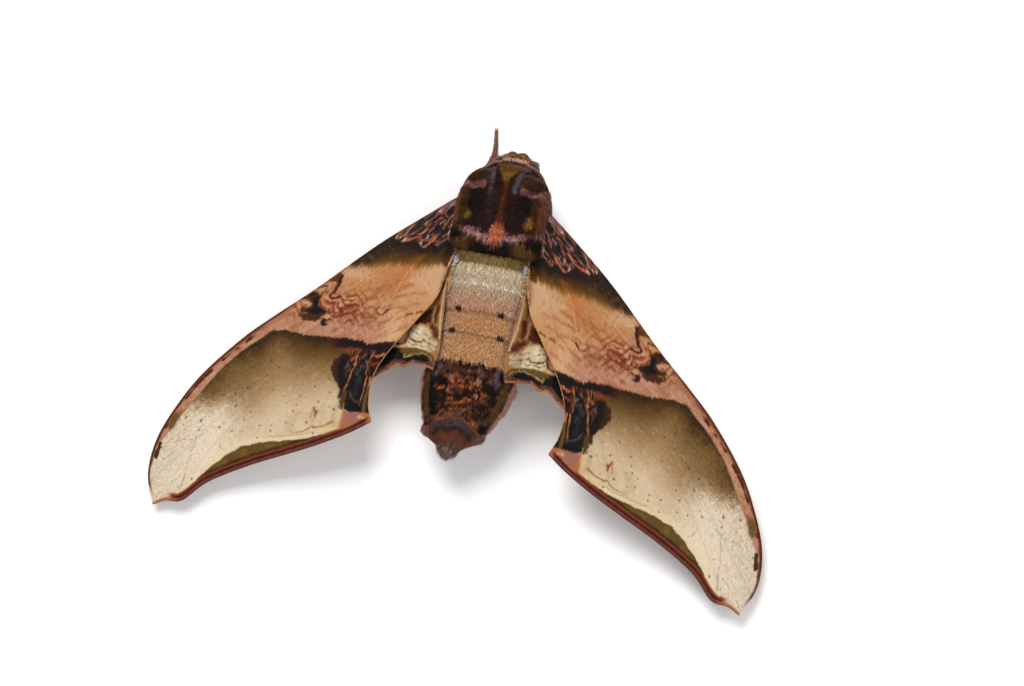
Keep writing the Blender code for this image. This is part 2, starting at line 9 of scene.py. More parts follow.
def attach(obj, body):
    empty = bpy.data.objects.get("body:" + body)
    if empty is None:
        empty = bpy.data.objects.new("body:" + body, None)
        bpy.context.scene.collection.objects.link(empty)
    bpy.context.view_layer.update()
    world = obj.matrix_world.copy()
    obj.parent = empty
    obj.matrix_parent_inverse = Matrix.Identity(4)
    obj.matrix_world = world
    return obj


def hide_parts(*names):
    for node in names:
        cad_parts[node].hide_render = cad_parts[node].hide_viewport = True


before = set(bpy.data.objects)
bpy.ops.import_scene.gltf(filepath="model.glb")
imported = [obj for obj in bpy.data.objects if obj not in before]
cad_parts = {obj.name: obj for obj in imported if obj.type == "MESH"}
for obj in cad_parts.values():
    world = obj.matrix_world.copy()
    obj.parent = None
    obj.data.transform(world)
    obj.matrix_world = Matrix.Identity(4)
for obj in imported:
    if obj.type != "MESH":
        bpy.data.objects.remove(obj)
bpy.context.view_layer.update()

# Camera
# A long lens looks down on the moth's back from a little to one side, as the picture was taken.
# Its place was worked out in the moth's own frame, which stands a little off the model's middle.
MM = 0.001
MODEL_SHIFT = np.array((0.1, -13.1, 0.0))
CAMERA_TILT = (7.997, 6.988, -10.236)
CAMERA_PLACE = (-1.352, 12.385, 421.57)
tilt = Euler([math.radians(turn) for turn in CAMERA_TILT], "XYZ").to_matrix().transposed()
lens = bpy.data.cameras.new("camera")
lens.lens = 100.0
lens.sensor_width = 36.0
lens.clip_start = 0.01
camera = bpy.data.objects.new("camera", lens)
place = (tilt @ Vector(CAMERA_PLACE) + Vector(MODEL_SHIFT)) * MM
camera.matrix_world = Matrix.Translation(place) @ (tilt @ Matrix.Diagonal((-1.0, -1.0, 1.0))).to_4x4()
bpy.context.scene.collection.objects.link(camera)
bpy.context.scene.camera = camera
bpy.context.scene.view_settings.view_transform = "Standard"

# Floor and lights
# A plain pale tabletop, lit by a broad soft lamp ahead of the moth, a weaker one behind it,
# and an even pale room, as in a museum's photo studio.


class Wire:
    """A socket of a material's nodes, on which sums are written as on a number."""

    def __init__(self, finish, socket):
        self.finish = finish
        self.socket = socket

    def sum(self, operation, *others):
        return self.finish.node("Math", {"operation": operation}, *others)

    def __add__(self, other):
        return self.sum("ADD", self, other)

    def __radd__(self, other):
        return self.sum("ADD", other, self)

    def __sub__(self, other):
        return self.sum("SUBTRACT", self, other)

    def __rsub__(self, other):
        return self.sum("SUBTRACT", other, self)

    def __mul__(self, other):
        return self.sum("MULTIPLY", self, other)

    def __rmul__(self, other):
        return self.sum("MULTIPLY", other, self)

    def between(self, low, high):
        """Zero below low, one above high, with an even rise."""
        settings = {"interpolation_type": "SMOOTHSTEP"}
        return self.finish.node("MapRange", settings, self, low, high, 0.0, 1.0)


class Finish:
    """A material with one main shader, and its nodes."""

    def __init__(self, name, **plain):
        self.material = bpy.data.materials.new(name)
        self.material.use_nodes = True
        self.nodes = self.material.node_tree.nodes
        self.links = self.material.node_tree.links
        self.shader = self.nodes["Principled BSDF"]
        for socket, value in plain.items():
            self.shader.inputs[socket.replace("_", " ")].default_value = value

    def node(self, kind, settings, *values, out=0, **named):
        """Any node: its settings first, then the values or links of its sockets."""
        made = self.nodes.new("ShaderNode" + kind)
        for setting, value in settings.items():
            if setting == "stops":
                ramp = made.color_ramp.elements
                while len(ramp) < len(value):
                    ramp.new(1.0)
                for stop, (at, colour) in zip(ramp, value):
                    stop.position = at
                    stop.color = (*colour, 1.0)
            else:
                setattr(made, setting, value)
        for key, value in list(enumerate(values)) + list(named.items()):
            if value is None:
                continue
            socket = made.inputs[key.replace("_", " ")] if isinstance(key, str) else made.inputs[key]
            if isinstance(value, Wire):
                self.links.new(value.socket, socket)
            else:
                socket.default_value = value
        return Wire(self, made.outputs[out])

    def place(self, scale=(1.0, 1.0, 1.0)):
        """Places on the object in millimetres, drawn out by a scale on each axis."""
        at = self.node("TexCoord", {}, out="Object")
        return self.node("Mapping", {}, at, Scale=[1000.0 * part for part in scale])

    def noise(self, at, scale, detail=2.0, roughness=0.5):
        return self.node("TexNoise", {}, at, Scale=scale, Detail=detail, Roughness=roughness)

    def mix(self, part, first, second, blend="MIX"):
        """Two colours mixed by a part."""
        made = self.nodes.new("ShaderNodeMix")
        made.data_type = "RGBA"
        made.blend_type = blend
        for socket, value in zip((made.inputs[0], made.inputs[6], made.inputs[7]), (part, first, second)):
            if isinstance(value, Wire):
                self.links.new(value.socket, socket)
            elif isinstance(value, float):
                socket.default_value = value
            else:
                socket.default_value = (*value, 1.0)
        return Wire(self, made.outputs[2])

    def bump(self, height, strength, distance):
        """Raise the surface by a height, over a distance in millimetres."""
        return self.node("Bump", {}, Strength=strength, Distance=distance * MM, Height=height)

    def wear(self, **wires):
        """Lead wires into the main shader."""
        for socket, wire in wires.items():
            self.links.new(wire.socket, self.shader.inputs[socket.replace("_", " ")])
        return self.material


FLOOR_HALF = 1.5
floor_finish = Finish("floor", Roughness=0.85)
cloud = floor_finish.noise(floor_finish.place(), 0.02)
floor_paint = floor_finish.mix(cloud, (0.74, 0.735, 0.72), (0.78, 0.775, 0.76))
floor_mesh = bpy.data.meshes.new("floor")
floor_mesh.from_pydata([(x * FLOOR_HALF, y * FLOOR_HALF, 0.0) for x,
    y in ((-1, -1), (1, -1), (1, 1), (-1, 1))], [], [(0, 1, 2, 3)])
floor_mesh.materials.append(floor_finish.wear(Base_Color=floor_paint))
floor = bpy.data.objects.new("floor", floor_mesh)
bpy.context.scene.collection.objects.link(floor)

LAMPS = (
    ("key", (0.12, -0.30, 0.42), 0.30, 3.6),
    ("fill", (-0.35, 0.05, 0.35), 0.40, 1.1),
    ("back", (0.10, 0.40, 0.30), 0.40, 1.0),
)
for lamp_name, lamp_place, lamp_size, power in LAMPS:
    lamp = bpy.data.lights.new(lamp_name, "AREA")
    lamp.size = lamp_size
    lamp.energy = power
    lamp_object = bpy.data.objects.new(lamp_name, lamp)
    lamp_object.location = lamp_place
    lamp_object.rotation_euler = (-Vector(lamp_place)).to_track_quat("-Z", "Y").to_euler()
    bpy.context.scene.collection.objects.link(lamp_object)
ROOM_COLOUR = (0.9, 0.93, 1.0, 1.0)
ROOM_STRENGTH = 0.36
room = bpy.data.worlds.new("room")
room.use_nodes = True
room_light = room.node_tree.nodes["Background"].inputs
room_light["Color"].default_value = ROOM_COLOUR
room_light["Strength"].default_value = ROOM_STRENGTH
bpy.context.scene.world = room

# Body
# One skin runs from the face over the head, thorax and abdomen to the tail, with the collar domes,
# the shoulder plates, the ridge and the ringed segments raised in it. It is chitin under scales.
HEAD = (-0.4, -11.3, 8.9)
BODY_SECTIONS = np.array((
    (-13.24, -0.4, 0.30, 8.60, 9.20), (-13.15, -0.4, 0.87, 8.00, 9.80), (-12.9, -0.4, 1.57, 7.27, 10.53),
    (-12.5, -0.4, 2.17, 6.65, 11.15), (-12.0, -0.4, 2.57, 6.24, 11.56), (-11.4, -0.4, 2.78, 6.05, 11.8),
    (-11.0, -0.35, 3.1, 6.1, 12.2), (-10.6, -0.2, 4.2, 6.4, 13.3), (-9.5, -0.1, 5.4, 5.1, 14.5),
    (-7.5, 0.0, 6.3, 3.9, 15.4), (-5.0, 0.0, 6.6, 3.3, 15.9), (-2.0, 0.0, 6.5, 3.1, 15.8),
        (0.2, 0.0, 6.1, 3.3, 15.2),
    (1.5, 0.0, 5.55, 3.8, 14.3), (2.2, -0.05, 5.3, 3.9, 13.9), (6.0, -0.1, 5.7, 3.5, 14.2),
        (12.0, 0.0, 6.0, 3.2, 13.7),
    (17.0, 0.1, 6.3, 3.0, 12.9), (19.5, 0.2, 6.3, 3.0, 12.3), (22.0, 0.45, 5.9, 3.0, 11.5),
        (24.4, 0.75, 5.1, 3.1, 10.5),
    (26.7, 1.15, 3.8, 3.3, 9.4), (28.4, 1.5, 2.5, 3.8, 8.6), (29.4, 1.6, 1.4, 4.7, 7.8),
        (30.1, 1.65, 0.8, 5.4, 7.3),
    (30.4, 1.65, 0.35, 5.9, 6.8),
))
SECTION_POWER = 2.3
SIDES = (("left", 1.0), ("right", -1.0))
SEGMENT_RINGS = (2.05, 6.2, 9.8, 13.3, 17.4, 20.8, 23.6, 26.0, 28.2, 30.9)
BODY_ROWS, BODY_COLUMNS = 250, 136
PLATE_ANGLE, PLATE_HALF_ANGLE = math.radians(36.0), math.radians(15.0)
SKIN_SHADE = 0.72  # painted shade: under the hair the skin takes its scales' colours darkened by this factor


def soft(low, high, value):
    """Zero below low, one above high, with an even rise between them. It falls if low is above high."""
    part = np.clip((value - low) / (high - low), 0.0, 1.0)
    return part * part * (3.0 - 2.0 * part)


def hump(value, middle, width):
    """One at the middle, and falling off evenly on both sides."""
    return np.exp(-((value - middle) / width) ** 2)


def curve_value(at, knots, values):
    """Smooth values between knots, which never rise above or fall below their neighbours."""
    step = np.diff(knots)
    slope = np.diff(values) / step
    inner = np.where(slope[1:] * slope[:-1] > 0,
        2 * slope[1:] * slope[:-1] / (slope[1:] + slope[:-1] + 1e-12), 0.0)
    slopes = np.concatenate((slope[:1], inner, slope[-1:]))
    slot = np.clip(np.searchsorted(knots, at) - 1, 0, len(knots) - 2)
    t = np.clip((at - knots[slot]) / step[slot], 0.0, 1.0)
    start, stop = values[slot], values[slot + 1]
    bend = (2 * t ** 3 - 3 * t ** 2 + 1) * start + (3 * t ** 2 - 2 * t ** 3) * stop
    return bend + ((t ** 3 - 2 * t ** 2 + t) * slopes[slot] + (t ** 3 - t ** 2)
        * slopes[slot + 1]) * step[slot]


def body_swell(y, angle, x):
    """How far the skin stands out from the plain barrel at each place."""
    up = np.clip(np.sin(angle), 0.0, 1.0)
    domes = 0.65 * np.exp(-((np.abs(x) - 3.6) / 1.6) ** 2 - ((y + 9.0) / 1.0) ** 2)
    crescent = -0.35 * hump(y + 0.03 * x * x, -7.1, 0.6) * soft(1.6, 3.0, np.abs(x))
    ridge = 0.4 * np.exp(-(x / 0.9) ** 2) * soft(-10.2, -9.0, y) * soft(1.0, 0.0, y)
    hind = 0.45 * hump(y + 0.02 * x * x, 0.2, 0.8) - 0.55 * hump(y + 0.02 * x * x, 1.55, 0.35)
    cheeks = -0.35 * hump(y, -11.0, 0.3)
    plates = 0.0
    for middle in (PLATE_ANGLE, math.pi - PLATE_ANGLE):
        reach = np.hypot((y + 3.7) / 4.9, (angle - middle) / PLATE_HALF_ANGLE)
        plates = plates + 0.6 * soft(1.05, 0.75, reach)
    ring = np.searchsorted(SEGMENT_RINGS, y) - 1
    first = np.take(SEGMENT_RINGS, np.clip(ring, 0, 8))
    last = np.take(SEGMENT_RINGS, np.clip(ring + 1, 1, 9))
    along = np.clip((y - first) / (last - first), 0.0, 1.0)
    rings = 0.26 * (along ** 0.6 - 0.7) * soft(2.2, 3.0, y)
    side = np.exp(-(np.minimum(np.abs(angle),
        np.minimum(np.abs(angle - math.pi), np.abs(angle + math.pi))) / 0.34) ** 2)
    fringe = 0.45 * soft(18.2, 20.5, y) * soft(29.5, 27.0, y) + 0.8 * hump(y, 27.9, 0.9)
    return (domes + crescent + ridge + hind + plates) * up + cheeks + rings + fringe * side


def body_point(y, angle):
    """Places of the skin in the moth's frame, at a distance along it and an angle round it."""
    knots = BODY_SECTIONS[:, 0]
    shift, half, low, high = (curve_value(y, knots, BODY_SECTIONS[:, item]) for item in (1, 2, 3, 4))
    power = 2.0 / SECTION_POWER
    cosine, sine = np.cos(angle), np.sin(angle)
    x = np.copysign(np.abs(cosine) ** power, cosine)
    z = np.copysign(np.abs(sine) ** power, sine)
    grown = body_swell(y, np.arctan2(sine, cosine), half * x)
    across, up = half + grown, (high - low) / 2 + grown
    return np.stack((shift + across * x, y, (low + high) / 2 + up * z), -1)


def body_frame(y, angle):
    """Place, outward direction and direction towards the tail at points of the skin."""
    small = 0.02
    at = body_point(y, angle)
    ahead = body_point(y + small, angle) - body_point(y - small, angle)
    around = body_point(y, angle + small) - body_point(y, angle - small)
    outward = np.cross(ahead, around)
    outward /= np.linalg.norm(outward, axis=-1, keepdims=True) + 1e-12
    ahead /= np.linalg.norm(ahead, axis=-1, keepdims=True) + 1e-12
    return at, outward, ahead


def grain(u, v, size, seed):
    """Smooth random values between -1 and 1, in patches of a size in millimetres."""
    column, row = np.floor(u / size).astype(np.int64), np.floor(v / size).astype(np.int64)
    part_u, part_v = soft(0.0, 1.0, u / size - column), soft(0.0, 1.0, v / size - row)

    def corner(i, j):
        mixed = (i * 374761393 + j * 668265263 + seed * 144665407) & 0x7FFFFFFF
        mixed = ((mixed ^ (mixed >> 13)) * 1274126177) & 0x7FFFFFFF
        return ((mixed ^ (mixed >> 16)) & 0xFFFF) / 32767.5 - 1.0

    low = corner(column, row) * (1 - part_u) + corner(column + 1, row) * part_u
    high = corner(column, row + 1) * (1 - part_u) + corner(column + 1, row + 1) * part_u
    return low * (1 - part_v) + high * part_v


def mottle(u, v, size, seed):
    """Three sizes of grain together."""
    fine = grain(u, v, size / 4, seed + 2)
    return 0.55 * grain(u, v, size, seed) + 0.3 * grain(u, v, size / 2, seed + 1) + 0.15 * fine


def streaks(u, v, turn, length, width, seed):
    """Grain drawn out in one direction, as hairs and rows of scales are."""
    along = u * np.cos(turn) + v * np.sin(turn)
    across = -u * np.sin(turn) + v * np.cos(turn)
    coarse = grain(along / length, across / width, 1.0, seed)
    return 0.6 * coarse + 0.4 * grain(along / length * 2.1, across / width * 2.1, 1.0, seed + 5)


def to_line(u, v, line):
    """Distance to a line through points."""
    near = np.full(u.shape, np.inf)
    for (u0, v0), (u1, v1) in zip(line, line[1:]):
        du, dv = u1 - u0, v1 - v0
        part = np.clip(((u - u0) * du + (v - v0) * dv) / (du * du + dv * dv), 0.0, 1.0)
        near = np.minimum(near, np.hypot(u - u0 - part * du, v - v0 - part * dv))
    return near


def to_shape(u, v, shape):
    """Distance to the edge of a closed shape, below zero inside it."""
    within = np.zeros(u.shape, bool)
    for (u0, v0), (u1, v1) in zip(shape, shape[1:] + shape[:1]):
        if v0 != v1:
            within ^= ((v0 > v) != (v1 > v)) & (u < u0 + (v - v0) / (v1 - v0) * (u1 - u0))
    return np.where(within, -1.0, 1.0) * to_line(u, v, shape + shape[:1])


def level(u, line):
    """The height of a line that runs across, at each u."""
    return np.interp(u, [point[0] for point in line], [point[1] for point in line])


def lay(paint, colour, mask):
    """Lay a colour over the paint where the mask is one."""
    return paint + (np.array(colour, float) - paint) * np.clip(mask, 0.0, 1.0)[..., None]


def ramp(value, stops, tones):
    """Colours that follow a value through stops."""
    return np.stack([np.interp(value, stops,
        [tone[channel] for tone in tones]) for channel in range(3)], -1)


def paint_body(x, y, up):
    """Colours of the body's scales by place, with the height up of the surface's own direction."""
    rag = 0.18 * mottle(x, y, 0.8, 211)
    hair = streaks(x, y, math.pi / 2, 1.0, 0.16, 212)
    paint = np.empty(x.shape + (3,))
    paint[:] = (50, 30, 24)

    # thorax: chocolate disc with black clouds and a painted sheen beside the ridge, olive sides and an
    # orange ridge
    paint = lay(paint, (24, 16, 17), 0.85 * soft(0.0, 0.35, mottle(x, y, 2.6, 213)))
    paint = lay(paint, (92, 66, 60), 0.35 * soft(0.25, 0.6, mottle(x, y, 1.1, 214)))
    # painted sheen: a lilac-grey strip on the disc beside the ridge
    paint = lay(paint, (72, 54, 56), 0.5 * soft(0.9, 0.2, np.abs(x - 1.1) + rag) * soft(-8.0, -6.0, y)
        * soft(-1.5, -3.0, y))
    paint = lay(paint, (30, 18, 16), 0.7
        * soft(1.4, 0.5, np.hypot(np.abs(x) - 3.2, (y + 5.6) * 0.5) + 2 * rag))
    paint = lay(paint, (76, 50, 22), 0.75 * soft(0.9, 0.4, np.abs(np.abs(x) - 5.1) + 2 * rag)
        * soft(-9.0, -7.6, y) * soft(-1.2, -2.4, y))
    ochre = np.hypot((np.abs(x) - 4.4) / 0.85, (y + 3.1) / 1.0) + 3 * rag + 0.2 * hair
    paint = lay(paint, (150, 108, 46), 0.9 * soft(1.1, 0.5, ochre))
    paint = lay(paint, (196, 156, 74), 0.5 * soft(0.6, 0.1, ochre) * soft(0.0, 0.4, hair))
    edge = level(y, ((-12.0, 4.6), (-10.0, 5.3), (-7.0, 5.7), (-4.0, 5.85), (0.0, 5.6)))
    flank = np.abs(x) - edge
    paint = lay(paint, (130, 84, 60), 0.9 * soft(-0.5, 0.05, flank + 1.6 * rag + 0.1 * hair)
        * soft(1.4, 0.6, y))
    paint = lay(paint, (168, 122, 104),
        0.6 * soft(0.2, 0.6, flank + rag) * soft(0.0, 0.5, hair) * soft(1.4, 0.6, y))
    paint = lay(paint, (140, 74, 42), 0.55 * hump(flank + 2 * rag, -0.12, 0.3) * soft(-7.5, -5.5, y)
        * soft(0.0, -1.0, y))
    ridge = np.abs(x + 0.45) + 0.5 * rag
    ridge_half = level(y, ((-11.0, 0.1), (-9.0, 0.3), (-6.0, 0.22), (-3.6, 0.28), (-2.4, 0.5),
        (-1.2, 0.95), (0.8, 0.65)))
    ridge_mask = soft(0.28, -0.2, ridge - ridge_half) * soft(-9.6, -8.6, y) * soft(1.1, 0.6, y)
    paint = lay(paint, (112, 50, 32), 0.92 * ridge_mask)
    paint = lay(paint, (206, 116, 76), 0.95 * ridge_mask * soft(-2.6, -1.6, y + rag))

    # collar: brown domes with rosy crescents, and an ochre wedge between grey-blue streaks
    dome = soft(1.9, 2.5, np.abs(x + 0.2)) * soft(-10.6, -10.1, y) * soft(-7.4, -8.1, y + 0.03 * x * x)
    paint = lay(paint, (72, 46, 28), 0.9 * dome)
    paint = lay(paint, (112, 80, 42), 0.5 * dome * soft(0.0, 0.6, hair))
    crescent = y - level(np.abs(x), ((2.2, -8.0), (3.6, -7.6), (4.6, -7.55), (5.8, -8.3)))
    crescent_mask = soft(0.75, 0.45, np.abs(crescent - 0.1 + 1.5 * rag)) * soft(2.1, 2.7,
        np.abs(x) + rag) * soft(6.1, 5.5, np.abs(x))
    paint = lay(paint, (166, 112, 104), 0.95 * crescent_mask)
    paint = lay(paint, (204, 158, 148),
        0.6 * crescent_mask * soft(0.0, 0.5, hair) * hump(crescent, 0.1, 0.5))
    brow = hump(y - level(np.abs(x), ((1.5, -10.4), (3.5, -10.1), (6.0, -9.8))) + rag, 0.0, 0.24)
    paint = lay(paint, (128, 98, 88), 0.75 * brow * soft(1.4, 2.2, np.abs(x)))
    for left, right in (((-2.2, -11.2), (-1.75, -7.4)), ((2.0, -11.0), (1.5, -8.2))):
        paint = lay(paint, (122, 112, 124),
            0.75 * soft(0.5, 0.1, to_line(x, y, (left, right)) + 1.5 * rag))
    paint = lay(paint, (96, 84, 96), 0.7
        * soft(0.55, 0.15, to_line(x, y, ((1.7, -8.6), (1.6, -6.6))) + 2 * rag))
    wedge = np.abs(x + 0.15) - level(y, ((-11.5, 1.7), (-10.4, 1.4), (-9.0, 0.4), (-8.2, 0.0)))
    paint = lay(paint, (152, 112, 42),
        0.95 * soft(0.22, -0.15, wedge + rag) * soft(-8.0, -8.8, y) * soft(-11.9, -11.5, y))
    paint = lay(paint, (110, 78, 32), 0.6 * soft(0.1, 0.6, -hair) * soft(0.22, -0.15, wedge)
        * soft(-8.2, -8.8, y))

    # hind fringe of the thorax
    hem = y - level(x, ((-6.2, -1.7), (-4.6, -0.7), (-2.4, 0.1), (0.0, 0.7), (2.4, 0.2), (4.6, -0.5),
        (6.2, -1.5)))
    inward = soft(5.2, 3.6, np.abs(x) + rag)
    paint = lay(paint, (80, 46, 32), 0.9 * soft(-1.0, -0.6, hem + 2 * rag) * soft(0.35, 0.05, hem + rag))
    paint = lay(paint, (166, 112, 112),
        0.95 * inward * soft(-1.3, -0.8, hem + 2.4 * rag + 0.15 * hair) * soft(0.35, 0.05, hem + rag))
    paint = lay(paint, (204, 168, 170),
        0.7 * hump(hem + rag, -0.3, 0.35) * soft(0.0, 0.5, hair + 0.3 * soft(5.0, 2.0, np.abs(x))))
    paint = lay(paint, (206, 120, 80), 0.95 * ridge_mask * soft(-2.6, -1.6, y + rag))
    paint = lay(paint, (34, 20, 12), 0.97 * soft(0.1, 0.4, hem + rag) * soft(1.9, 1.5, y))
    paint = lay(paint, (134, 96, 44), 0.85
        * soft(1.3, 0.6, np.hypot((np.abs(x) - 4.2) / 1.5, (y - 0.75) / 0.6) + 2 * rag)
        * soft(0.0, 0.3, hem))

    paint = np.clip(0.9 * paint - 7.0, 5.0, 255.0)

    # abdomen: olive, grey and tan hair, four black spots, then the dark hind part
    fur = ramp(y + 0.5 * hair + 2.0 * rag, (1.6, 2.4, 3.6, 4.6, 5.6, 6.6, 7.4, 9.0, 10.2, 10.8, 16.0), (
        (84, 62, 28), (130, 102, 54), (172, 148, 100), (208, 190, 164), (194, 174, 142), (216, 200, 178),
        (184, 154, 124), (190, 144, 116), (186, 138, 108), (180, 132, 90), (184, 136, 92)))
    fur = lay(fur, (150, 118, 82), 0.25 * soft(0.2, 0.7, hair) * soft(3.0, 5.0, y))
    fur = lay(fur, (216, 200, 174), 0.25 * soft(0.2, 0.7, -hair) * soft(3.0, 5.0, y))
    fur = lay(fur, (180, 142, 134), 0.75 * soft(3.9, 5.0, np.abs(x) + rag) * soft(6.0, 9.0, y))
    for middle, span in ((12.3, 1.6), (14.2, 1.0), (16.8, 1.7)):
        arc = y - middle - 0.05 * (x - 0.6) ** 2
        fur = lay(fur, (186, 112, 44), 0.6 * hump(arc + rag, 0.0, 0.16)
            * soft(span + 0.5, span - 0.3, np.abs(x - 0.6)))
    for spot_x, spot_y, wide in ((3.15, 10.3, 0.55), (3.5, 13.6, 0.6)):
        spot = np.hypot((np.abs(x) - spot_x) / wide, (y - spot_y) / 0.38) + 2.2 * rag + 0.25 * hair
        fur = lay(fur, (40, 24, 18), 0.95 * soft(1.15, 0.75, spot))
    arcs = np.abs(x) - level(y, ((1.2, 4.4), (1.7, 4.9), (2.4, 5.2), (3.4, 5.5), (4.6, 5.6)))
    hook = np.minimum(np.abs(arcs) + 3 * soft(3.6, 4.6, y),
        to_line(np.abs(x), y, ((3.7, 1.75), (4.4, 1.6), (5.0, 1.9), (5.3, 2.6))))
    fur = lay(fur, (212, 196, 196), 0.85 * soft(0.22, 0.04, hook + rag))
    paint = paint + (fur - paint) * soft(1.5, 1.75, y + rag)[..., None]
    paint = lay(paint, (34, 22, 14), 0.95 * hump(y - 0.02 * x * x + rag, 1.5, 0.22)
        * soft(5.2, 4.4, np.abs(x)))

    dark = soft(17.75, 17.95, y + 2.0 * rag + 0.25 * hair - 0.12 * np.cos(x * 2.4))
    hind = np.empty(paint.shape)
    hind[:] = (34, 22, 18)
    centre = x - 0.08 * (y - 17)
    hind = lay(hind, (130, 84, 66), 0.7 * soft(0.05, 0.5, mottle(x, y, 0.9, 221)))
    hind = lay(hind, (120, 96, 104), 0.6 * soft(0.25, 0.6, mottle(x, y, 0.8, 226)))
    hind = lay(hind, (12, 9, 9), 0.8 * soft(0.2, 0.6, mottle(x, y, 1.1, 227)))
    for middle, bend, span, strong in ((18.9, 0.02, 3.6, 0.4), (19.8, 0.02, 3.4, 0.6),
            (20.4, 0.04, 2.4, 0.95), (21.1, 0.05, 3.8, 0.95), (22.0, 0.07, 3.2, 0.6),
            (22.8, 0.08, 2.0, 0.95), (23.4, 0.1, 3.2, 0.75), (24.2, 0.1, 2.8, 0.8), (24.9, 0.1, 3.0, 0.8),
            (25.4, 0.1, 3.0, 0.6)):
        arc = y - middle - bend * centre ** 2
        broken = soft(-0.35, 0.15, grain(x, y, 0.5, int(middle * 10)) + 0.2)
        hind = lay(hind, (210, 116, 54), strong * hump(arc + 1.6 * rag, 0.0, 0.19)
            * soft(span + 0.4, span - 0.3, np.abs(centre)) * broken)
    for streak_x in (-1.5, 1.7):
        hind = lay(hind, (160, 92, 50), 0.7 * soft(0.3, 0.1, np.abs(centre - streak_x) + rag)
            * soft(20.0, 19.4, y) * soft(-0.2, 0.2, hair))
        hind = lay(hind, (172, 132, 130), 0.8
            * soft(0.5, 0.2, np.hypot(centre - streak_x * 1.25, (y - 20.2)) + rag))
        hind = lay(hind, (172, 132, 130), 0.8
            * soft(0.4, 0.15, np.hypot(centre - streak_x * 1.3, (y - 22.1)) + rag))
    hind = lay(hind, (86, 84, 98), 0.6 * soft(1.0, 0.4, np.hypot(centre, (y - 24.6) * 2.0) + 2 * rag))
    side = np.abs(x - level(y, ((17.0, 0.1), (22.0, 0.45), (26.0, 1.05), (30.0, 1.65))))
    rim = level(y, ((17.0, 6.0), (19.5, 6.2), (22.0, 5.8), (24.4, 5.2), (26.7, 4.0), (27.9, 3.6),
        (28.6, 2.6), (30.9, 0.4)))
    olive_side = hump(side - rim, -0.4, 0.55)
    hind = lay(hind, (104, 76, 38), 0.85 * soft(0.3, 0.7, olive_side + rag) * soft(18.2, 19.4, y)
        * soft(26.0, 25.0, y))
    hind = lay(hind, (48, 30, 20), 0.6 * soft(0.1, 0.5, mottle(x, y, 1.3, 223)) * soft(26.0, 25.0, y))
    for tuft_x, tuft_y in ((4.1, 18.7), (4.5, 19.8)):
        hind = lay(hind, (134, 112, 122), 0.6
            * soft(0.7, 0.1, np.hypot(side - tuft_x, (y - tuft_y) * 0.7) + 2 * rag))
    hind = lay(hind, (192, 142, 128), 0.92 * soft(0.05, 0.3, side - rim + rag) * soft(17.8, 18.8, y))

    hind = np.clip(1.04 * hind - 10.0, 4.0, 255.0)

    # last rings: rosy brown with grey-blue arches, red-brown hair and a grey tip
    arch = y - 0.13 * (x - 1.25) ** 2
    tail = ramp(arch + 2.2 * rag + 0.3 * hair, (25.2, 25.6, 26.0, 26.5, 27.0, 27.6, 28.4, 29.4), (
        (128, 78, 56), (172, 112, 90), (96, 60, 48), (112, 98, 106), (50, 32, 28), (132, 70, 42),
            (148, 86, 58), (150, 120, 104)))
    tail = lay(tail, (122, 66, 40), 0.5 * soft(0.1, 0.6, hair) * soft(27.0, 27.6, y))
    tail = lay(tail, (168, 104, 86), 0.85 * soft(-0.6, -0.1, side - rim + rag))
    hind = hind + (0.76 * tail - hind) * soft(25.0, 25.4, arch + 1.5 * rag)[..., None]
    hind = lay(hind, (126, 110, 102), 0.7 * soft(28.9, 29.7, y + rag))
    hind = lay(hind, (84, 54, 44), 0.8 * soft(-0.1, 0.3, hair) * soft(28.4, 29.2, y))
    paint = paint + (hind - paint) * dark[..., None]

    # head: rosy and cream brow, ochre tuft and a dark line behind it
    head = np.empty(paint.shape)
    head[:] = (118, 76, 62)
    head = lay(head, (140, 98, 48), 0.95 * soft(-13.0, -13.3, y + rag) * soft(2.2, 1.6, np.abs(x + 0.4)))
    head = lay(head, (218, 170, 140), 0.9
        * soft(1.2, 0.6, np.hypot((np.abs(x + 0.35) - 0.85) / 1.05, (y + 12.8) / 0.5) + 2 * rag))
    head = lay(head, (52, 32, 26), 0.85 * soft(0.36, 0.1, np.abs(y + 12.1) + rag))
    head = lay(head, (150, 106, 98), 0.85 * soft(0.36, 0.12, np.abs(y + 11.7) + rag))
    head = lay(head, (96, 70, 62), 0.8 * soft(2.0, 2.7, np.abs(x + 0.4)) * soft(-13.0, -12.0, y))
    paint = paint + (0.82 * head - paint) * soft(-11.2, -11.5, y + rag)[..., None]

    # sides and underside: rosy brown on the thorax, tan below the abdomen
    under = ramp(y + mottle(x, y, 2.0, 225), (-13.0, -8.0, 0.0, 4.0, 16.0, 22.0, 30.0), (
        (128, 92, 80), (120, 80, 66), (126, 84, 62), (168, 128, 98), (176, 138, 104), (160, 116, 90),
            (150, 104, 84)))
    return paint + (under - paint) * soft(0.05, -0.35, up + 0.6 * rag)[..., None]


def linear(colours):
    """Screen colours from 0 to 255 as light."""
    part = np.clip(colours / 255.0, 0.0, 1.0)
    return np.where(part <= 0.04045, part / 12.92, ((part + 0.055) / 1.055) ** 2.4)


